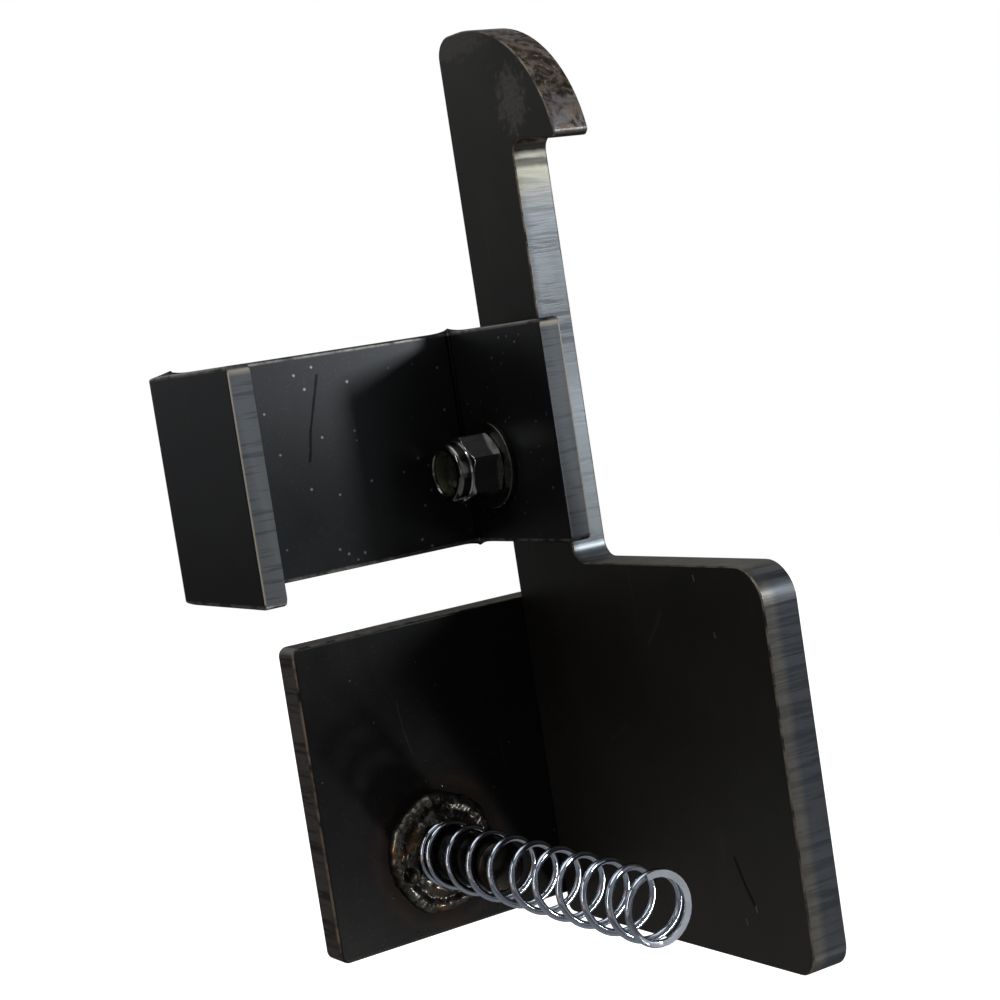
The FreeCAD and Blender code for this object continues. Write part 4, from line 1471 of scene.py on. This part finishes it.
@dataclass
class LockNut:
    """Hexagon nut whose round collar is crimped over a locking ring."""

    turn: float = math.radians(-13)
    flats_height: float = 8.4 * MM
    collar_radius: float = 6.9 * MM
    mouth_radius: float = 5.3 * MM
    crimp: float = 1.2 * MM
    corner: float = 0.35 * MM
    thread_radius: float = 4.85 * MM
    steps: int = 144
    chamfer_steps: int = 8
    crimp_steps: int = 12

    def hexagon(self, angle: float, half_flats: float) -> float:
        """Distance to the hexagon's side in one direction, with its corners a little rounded."""
        turn = (angle - self.turn + math.pi / 6) % (math.pi / 3) - math.pi / 6
        return min(half_flats / math.cos(turn), half_flats / math.cos(math.pi / 6) - self.corner * 0.6)

    def rings(self, height: float, half_flats: float) -> list[tuple[float, float, bool]]:
        """Rows of the nut's outside, from its washer face to its mouth and down inside.

        Args:
            height: Height over all.
            half_flats: Half the size across the flats.

        Returns:
            Height and largest radius of each row, and whether the hexagon bounds it.
        """
        slope = math.tan(math.radians(30))
        rim = half_flats * 0.97
        out = half_flats / math.cos(math.pi / 6)
        rows = [(0.0, rim - 0.4 * MM, False), (0.0, rim, True)]
        shares = [step / self.chamfer_steps for step in range(self.chamfer_steps + 1)]
        rows += [(slope * (out - rim) * share, rim + (out - rim) * share, True) for share in shares[1:]]
        rows.append((self.flats_height / 2, out, True))
        rows += [(self.flats_height - slope * (out - rim) * (1.0 - share), out - (out - rim) * share, True)
                 for share in shares]
        rows += [(self.flats_height + 0.05 * MM, self.collar_radius + 0.25 * MM, False),
                 (self.flats_height + 0.35 * MM, self.collar_radius, False)]
        lip = self.mouth_radius + 0.15 * MM
        for step in range(self.crimp_steps + 1):
            angle = min(math.pi * 0.62 * step / self.crimp_steps, math.pi / 2)
            rows.append((height - self.crimp + self.crimp * math.sin(angle),
                         lip + (self.collar_radius - lip) * math.cos(angle), False))
        rows += [(height - 0.3 * MM, self.mouth_radius - 0.05 * MM, False),
                 (height - 1.0 * MM, self.mouth_radius, False)]
        return rows

    def build(self, finishes: Finishes) -> bpy.types.Object:
        """Shape the nut round the bolt.

        Args:
            finishes: The materials.

        Returns:
            The piece.
        """
        low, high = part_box("lock_nut")
        ring_low, ring_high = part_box("nut_insert")
        centre = (low + high) / 2
        half_flats = (high.y - low.y) / 2 * math.cos(math.pi / 6) / math.cos(math.pi / 6 + self.turn)
        bore = (ring_high.y - ring_low.y) / 2
        rows = self.rings(high.x - low.x, half_flats)
        rows += [(ring_high.x - low.x + 0.02 * MM, bore, False), (ring_low.x - low.x, bore, False),
                 (ring_low.x - low.x, self.thread_radius, False), (0.0, self.thread_radius, False)]
        shape = bmesh.new()
        loops = []
        for level, radius, hexed in rows:
            loop = []
            for step in range(self.steps):
                angle = math.tau * step / self.steps
                reach = min(radius, self.hexagon(angle, half_flats)) if hexed else radius
                loop.append(shape.verts.new((low.x + level, centre.y + reach * math.cos(angle),
                                             centre.z + reach * math.sin(angle))))
            loops.append(loop)
        skin(shape, loops, joined=True)
        bmesh.ops.recalc_face_normals(shape, faces=shape.faces)
        mesh = keep(shape, "crimped_nut", finishes.zinc, finishes.collar)
        # The collar faces take the darker zinc copy, painted shade.
        for face in mesh.polygons:
            face.material_index = int(face.center.x > low.x + self.flats_height + 0.3 * MM)
        return place_piece("crimped_nut", mesh, Body.BRACKET, ["lock_nut"], 24.0)


@dataclass
class SoftenedPart:
    """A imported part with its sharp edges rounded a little."""

    node: str
    body: Body
    slot: str
    radius: float = 0.25 * MM
    sharp: float = math.radians(30)
    weld_distance: float = 0.002 * MM

    def build(self, material: bpy.types.Material) -> bpy.types.Object:
        """Copy the part, join its triangles and round its edges.

        Args:
            material: Its finish.

        Returns:
            The piece.
        """
        shape = bmesh.new()
        shape.from_mesh(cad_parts[self.node].data)
        bmesh.ops.remove_doubles(shape, verts=shape.verts, dist=self.weld_distance)
        bmesh.ops.dissolve_limit(shape, angle_limit=math.radians(1.0), verts=shape.verts, edges=shape.edges)
        edges = [edge for edge in shape.edges
                 if len(edge.link_faces) == 2 and edge.calc_face_angle() > self.sharp]
        bmesh.ops.bevel(shape, geom=edges, offset=self.radius, segments=3, profile=0.5, affect="EDGES",
                        clamp_overlap=True)
        for face in shape.faces:
            face.material_index = 0
        mesh = keep(shape, self.node + "_rounded", material)
        return place_piece(self.node + "_rounded", mesh, self.body, [self.node], 40.0)


# ---- Studio ----
@dataclass
class Softbox:
    """A flat lamp that faces the latch."""

    name: str
    place: tuple[float, float, float]
    width: float
    height: float
    power: float
    tint: Colour = (1.0, 1.0, 1.0)

    def build(self, aim: Vector) -> None:
        """Hang the lamp.

        Args:
            aim: What it points at.
        """
        data = bpy.data.lights.new(self.name, "AREA")
        data.shape, data.size, data.size_y = "RECTANGLE", self.width, self.height
        data.energy, data.color = self.power, self.tint
        lamp = bpy.data.objects.new(self.name, data)
        lamp.location = self.place
        lamp.rotation_mode = "QUATERNION"
        lamp.rotation_quaternion = (aim - lamp.location).to_track_quat("-Z", "Y")
        bpy.context.collection.objects.link(lamp)
        LOG.info("lamp %s: %.1f W", self.name, self.power)


@dataclass
class Studio:
    """Pale floor and surroundings, soft lamps and the camera."""

    eye: tuple[float, float, float] = (0.25873, 0.39044, 0.02517)
    look: tuple[float, float, float] = (-0.5202, -0.8501, -0.0824)
    roll: float = math.radians(-8.77)
    lens: float = 75.32
    sensor_width: float = 36.0
    ambient: tuple[float, float] = (0.05, 0.5)
    ambient_scale: float = 2.6
    floor_drop: float = 0.45
    lamps: list[Softbox] = field(default_factory=lambda: [
        Softbox("key_lamp", (-0.56, 0.72, 0.2), 0.1, 0.14, 3.6, (0.93, 0.97, 1.0)),
        Softbox("low_lamp", (-0.185, 0.505, -0.45), 0.05, 0.05, 1.0, (1.0, 0.98, 0.95)),
        Softbox("top_panel", (0.1, 0.1, 1.2), 1.0, 1.0, 5.0),
        Softbox("left_strip", (0.9, 0.25, 0.45), 0.12, 0.9, 2.2, (1.0, 0.97, 0.93)),
        Softbox("brown_panel", (0.9, 0.1, -0.1), 0.2, 0.4, 0.3, (1.0, 0.45, 0.22)),
        Softbox("back_panel", (0.2, -1.3, 0.6), 1.2, 0.7, 3.0),
    ])

    def surroundings(self) -> None:
        """A white backdrop that lights the metal only softly."""
        world = bpy.data.worlds.new("surroundings")
        bpy.context.scene.world = world
        world.use_nodes = True
        world.node_tree.nodes.clear()
        g = Graph(world.node_tree)
        seen = g.add("ShaderNodeLightPath").outputs["Is Camera Ray"]
        way = g.add("ShaderNodeTexCoord").outputs["Generated"]
        uneven = g.step(g.noise(way, self.ambient_scale, 3.0), 0.42, 0.58, *self.ambient)
        soft = g.add("ShaderNodeBackground", {0: (0.95, 0.97, 1.0), 1: uneven})
        white = g.add("ShaderNodeBackground", {0: (1.0, 1.0, 1.0), 1: 1.0})
        mixed = g.add("ShaderNodeMixShader", {0: seen, 1: soft.outputs[0], 2: white.outputs[0]})
        g.add("ShaderNodeOutputWorld", {0: mixed.outputs[0]})

    def floor(self) -> None:
        """A pale floor well below the latch."""
        shape = bmesh.new()
        bmesh.ops.create_circle(shape, cap_ends=True, segments=96, radius=4.0)
        mesh = keep(shape, "floor")
        level = CAD_BOX[0][2] - self.floor_drop
        mesh.transform(Matrix.Translation((0.0, 0.0, level)))
        piece = bpy.data.objects.new("floor", mesh)
        bpy.context.collection.objects.link(piece)
        material, g, surface, place = new_material("pale_floor")
        cloud = g.noise(place, 6.0, 3.0)
        g.feed(surface.inputs["Base Color"], g.mix(cloud, (0.38, 0.38, 0.38), (0.42, 0.42, 0.42)))
        surface.inputs["Roughness"].default_value = 0.9
        seen = g.add("ShaderNodeLightPath").outputs["Is Camera Ray"]
        g.feed(surface.inputs["Emission Strength"], g.times(seen, 1.2))
        surface.inputs["Emission Color"].default_value = (1.0, 1.0, 1.0, 1.0)
        mesh.materials.append(material)

    def camera(self) -> None:
        """The camera, a little rolled."""
        data = bpy.data.cameras.new("camera")
        data.lens, data.sensor_width = self.lens, self.sensor_width
        data.clip_start, data.clip_end = 0.01, 20.0
        eye = bpy.data.objects.new("camera", data)
        eye.location = self.eye
        eye.rotation_mode = "QUATERNION"
        level = Vector(self.look).to_track_quat("-Z", "Y")
        eye.rotation_quaternion = level @ Matrix.Rotation(self.roll, 4, "Z").to_quaternion()
        bpy.context.collection.objects.link(eye)
        bpy.context.scene.camera = eye

    def build(self) -> None:
        """Set everything up."""
        self.surroundings()
        self.floor()
        self.camera()
        aim = (Vector(CAD_BOX[0]) + Vector(CAD_BOX[1])) / 2
        for lamp in self.lamps:
            lamp.build(aim)
        bpy.context.scene.view_settings.view_transform = "Standard"


def main() -> None:
    """Build the latch's looks in order."""
    logging.basicConfig(level=logging.INFO, format="%(message)s")
    Studio().build()
    finishes = Finishes()
    paint("hook_lever", finishes.lever)
    paint("push_plate", finishes.push)
    paint("nut_insert", finishes.nylon)
    for part, material in (
            (SoftenedPart("pivot_bolt", Body.BRACKET, "zinc_plate", 0.2 * MM), finishes.dull_zinc_painted_shade),
            (SoftenedPart("nut_washer", Body.BRACKET, "washer_plate"), finishes.washer),
            (SoftenedPart("pivot_spacer", Body.BRACKET, "spacer_steel"), finishes.steel),
            (SoftenedPart("spring_stub", Body.LEVER, "dark_rod"), finishes.rod)):
        part.build(material)
    BentBracket().build(finishes)
    LockNut().build(finishes)
    ReturnSpring().build(finishes)
    StubWeld().build(finishes)
    Spatter().build(finishes)
    SeamWeld(node="seam_weld_upper", seed=4).build(finishes)
    SeamWeld(node="seam_weld_lower", seed=9).build(finishes)


if __name__ == "__main__":
    main()
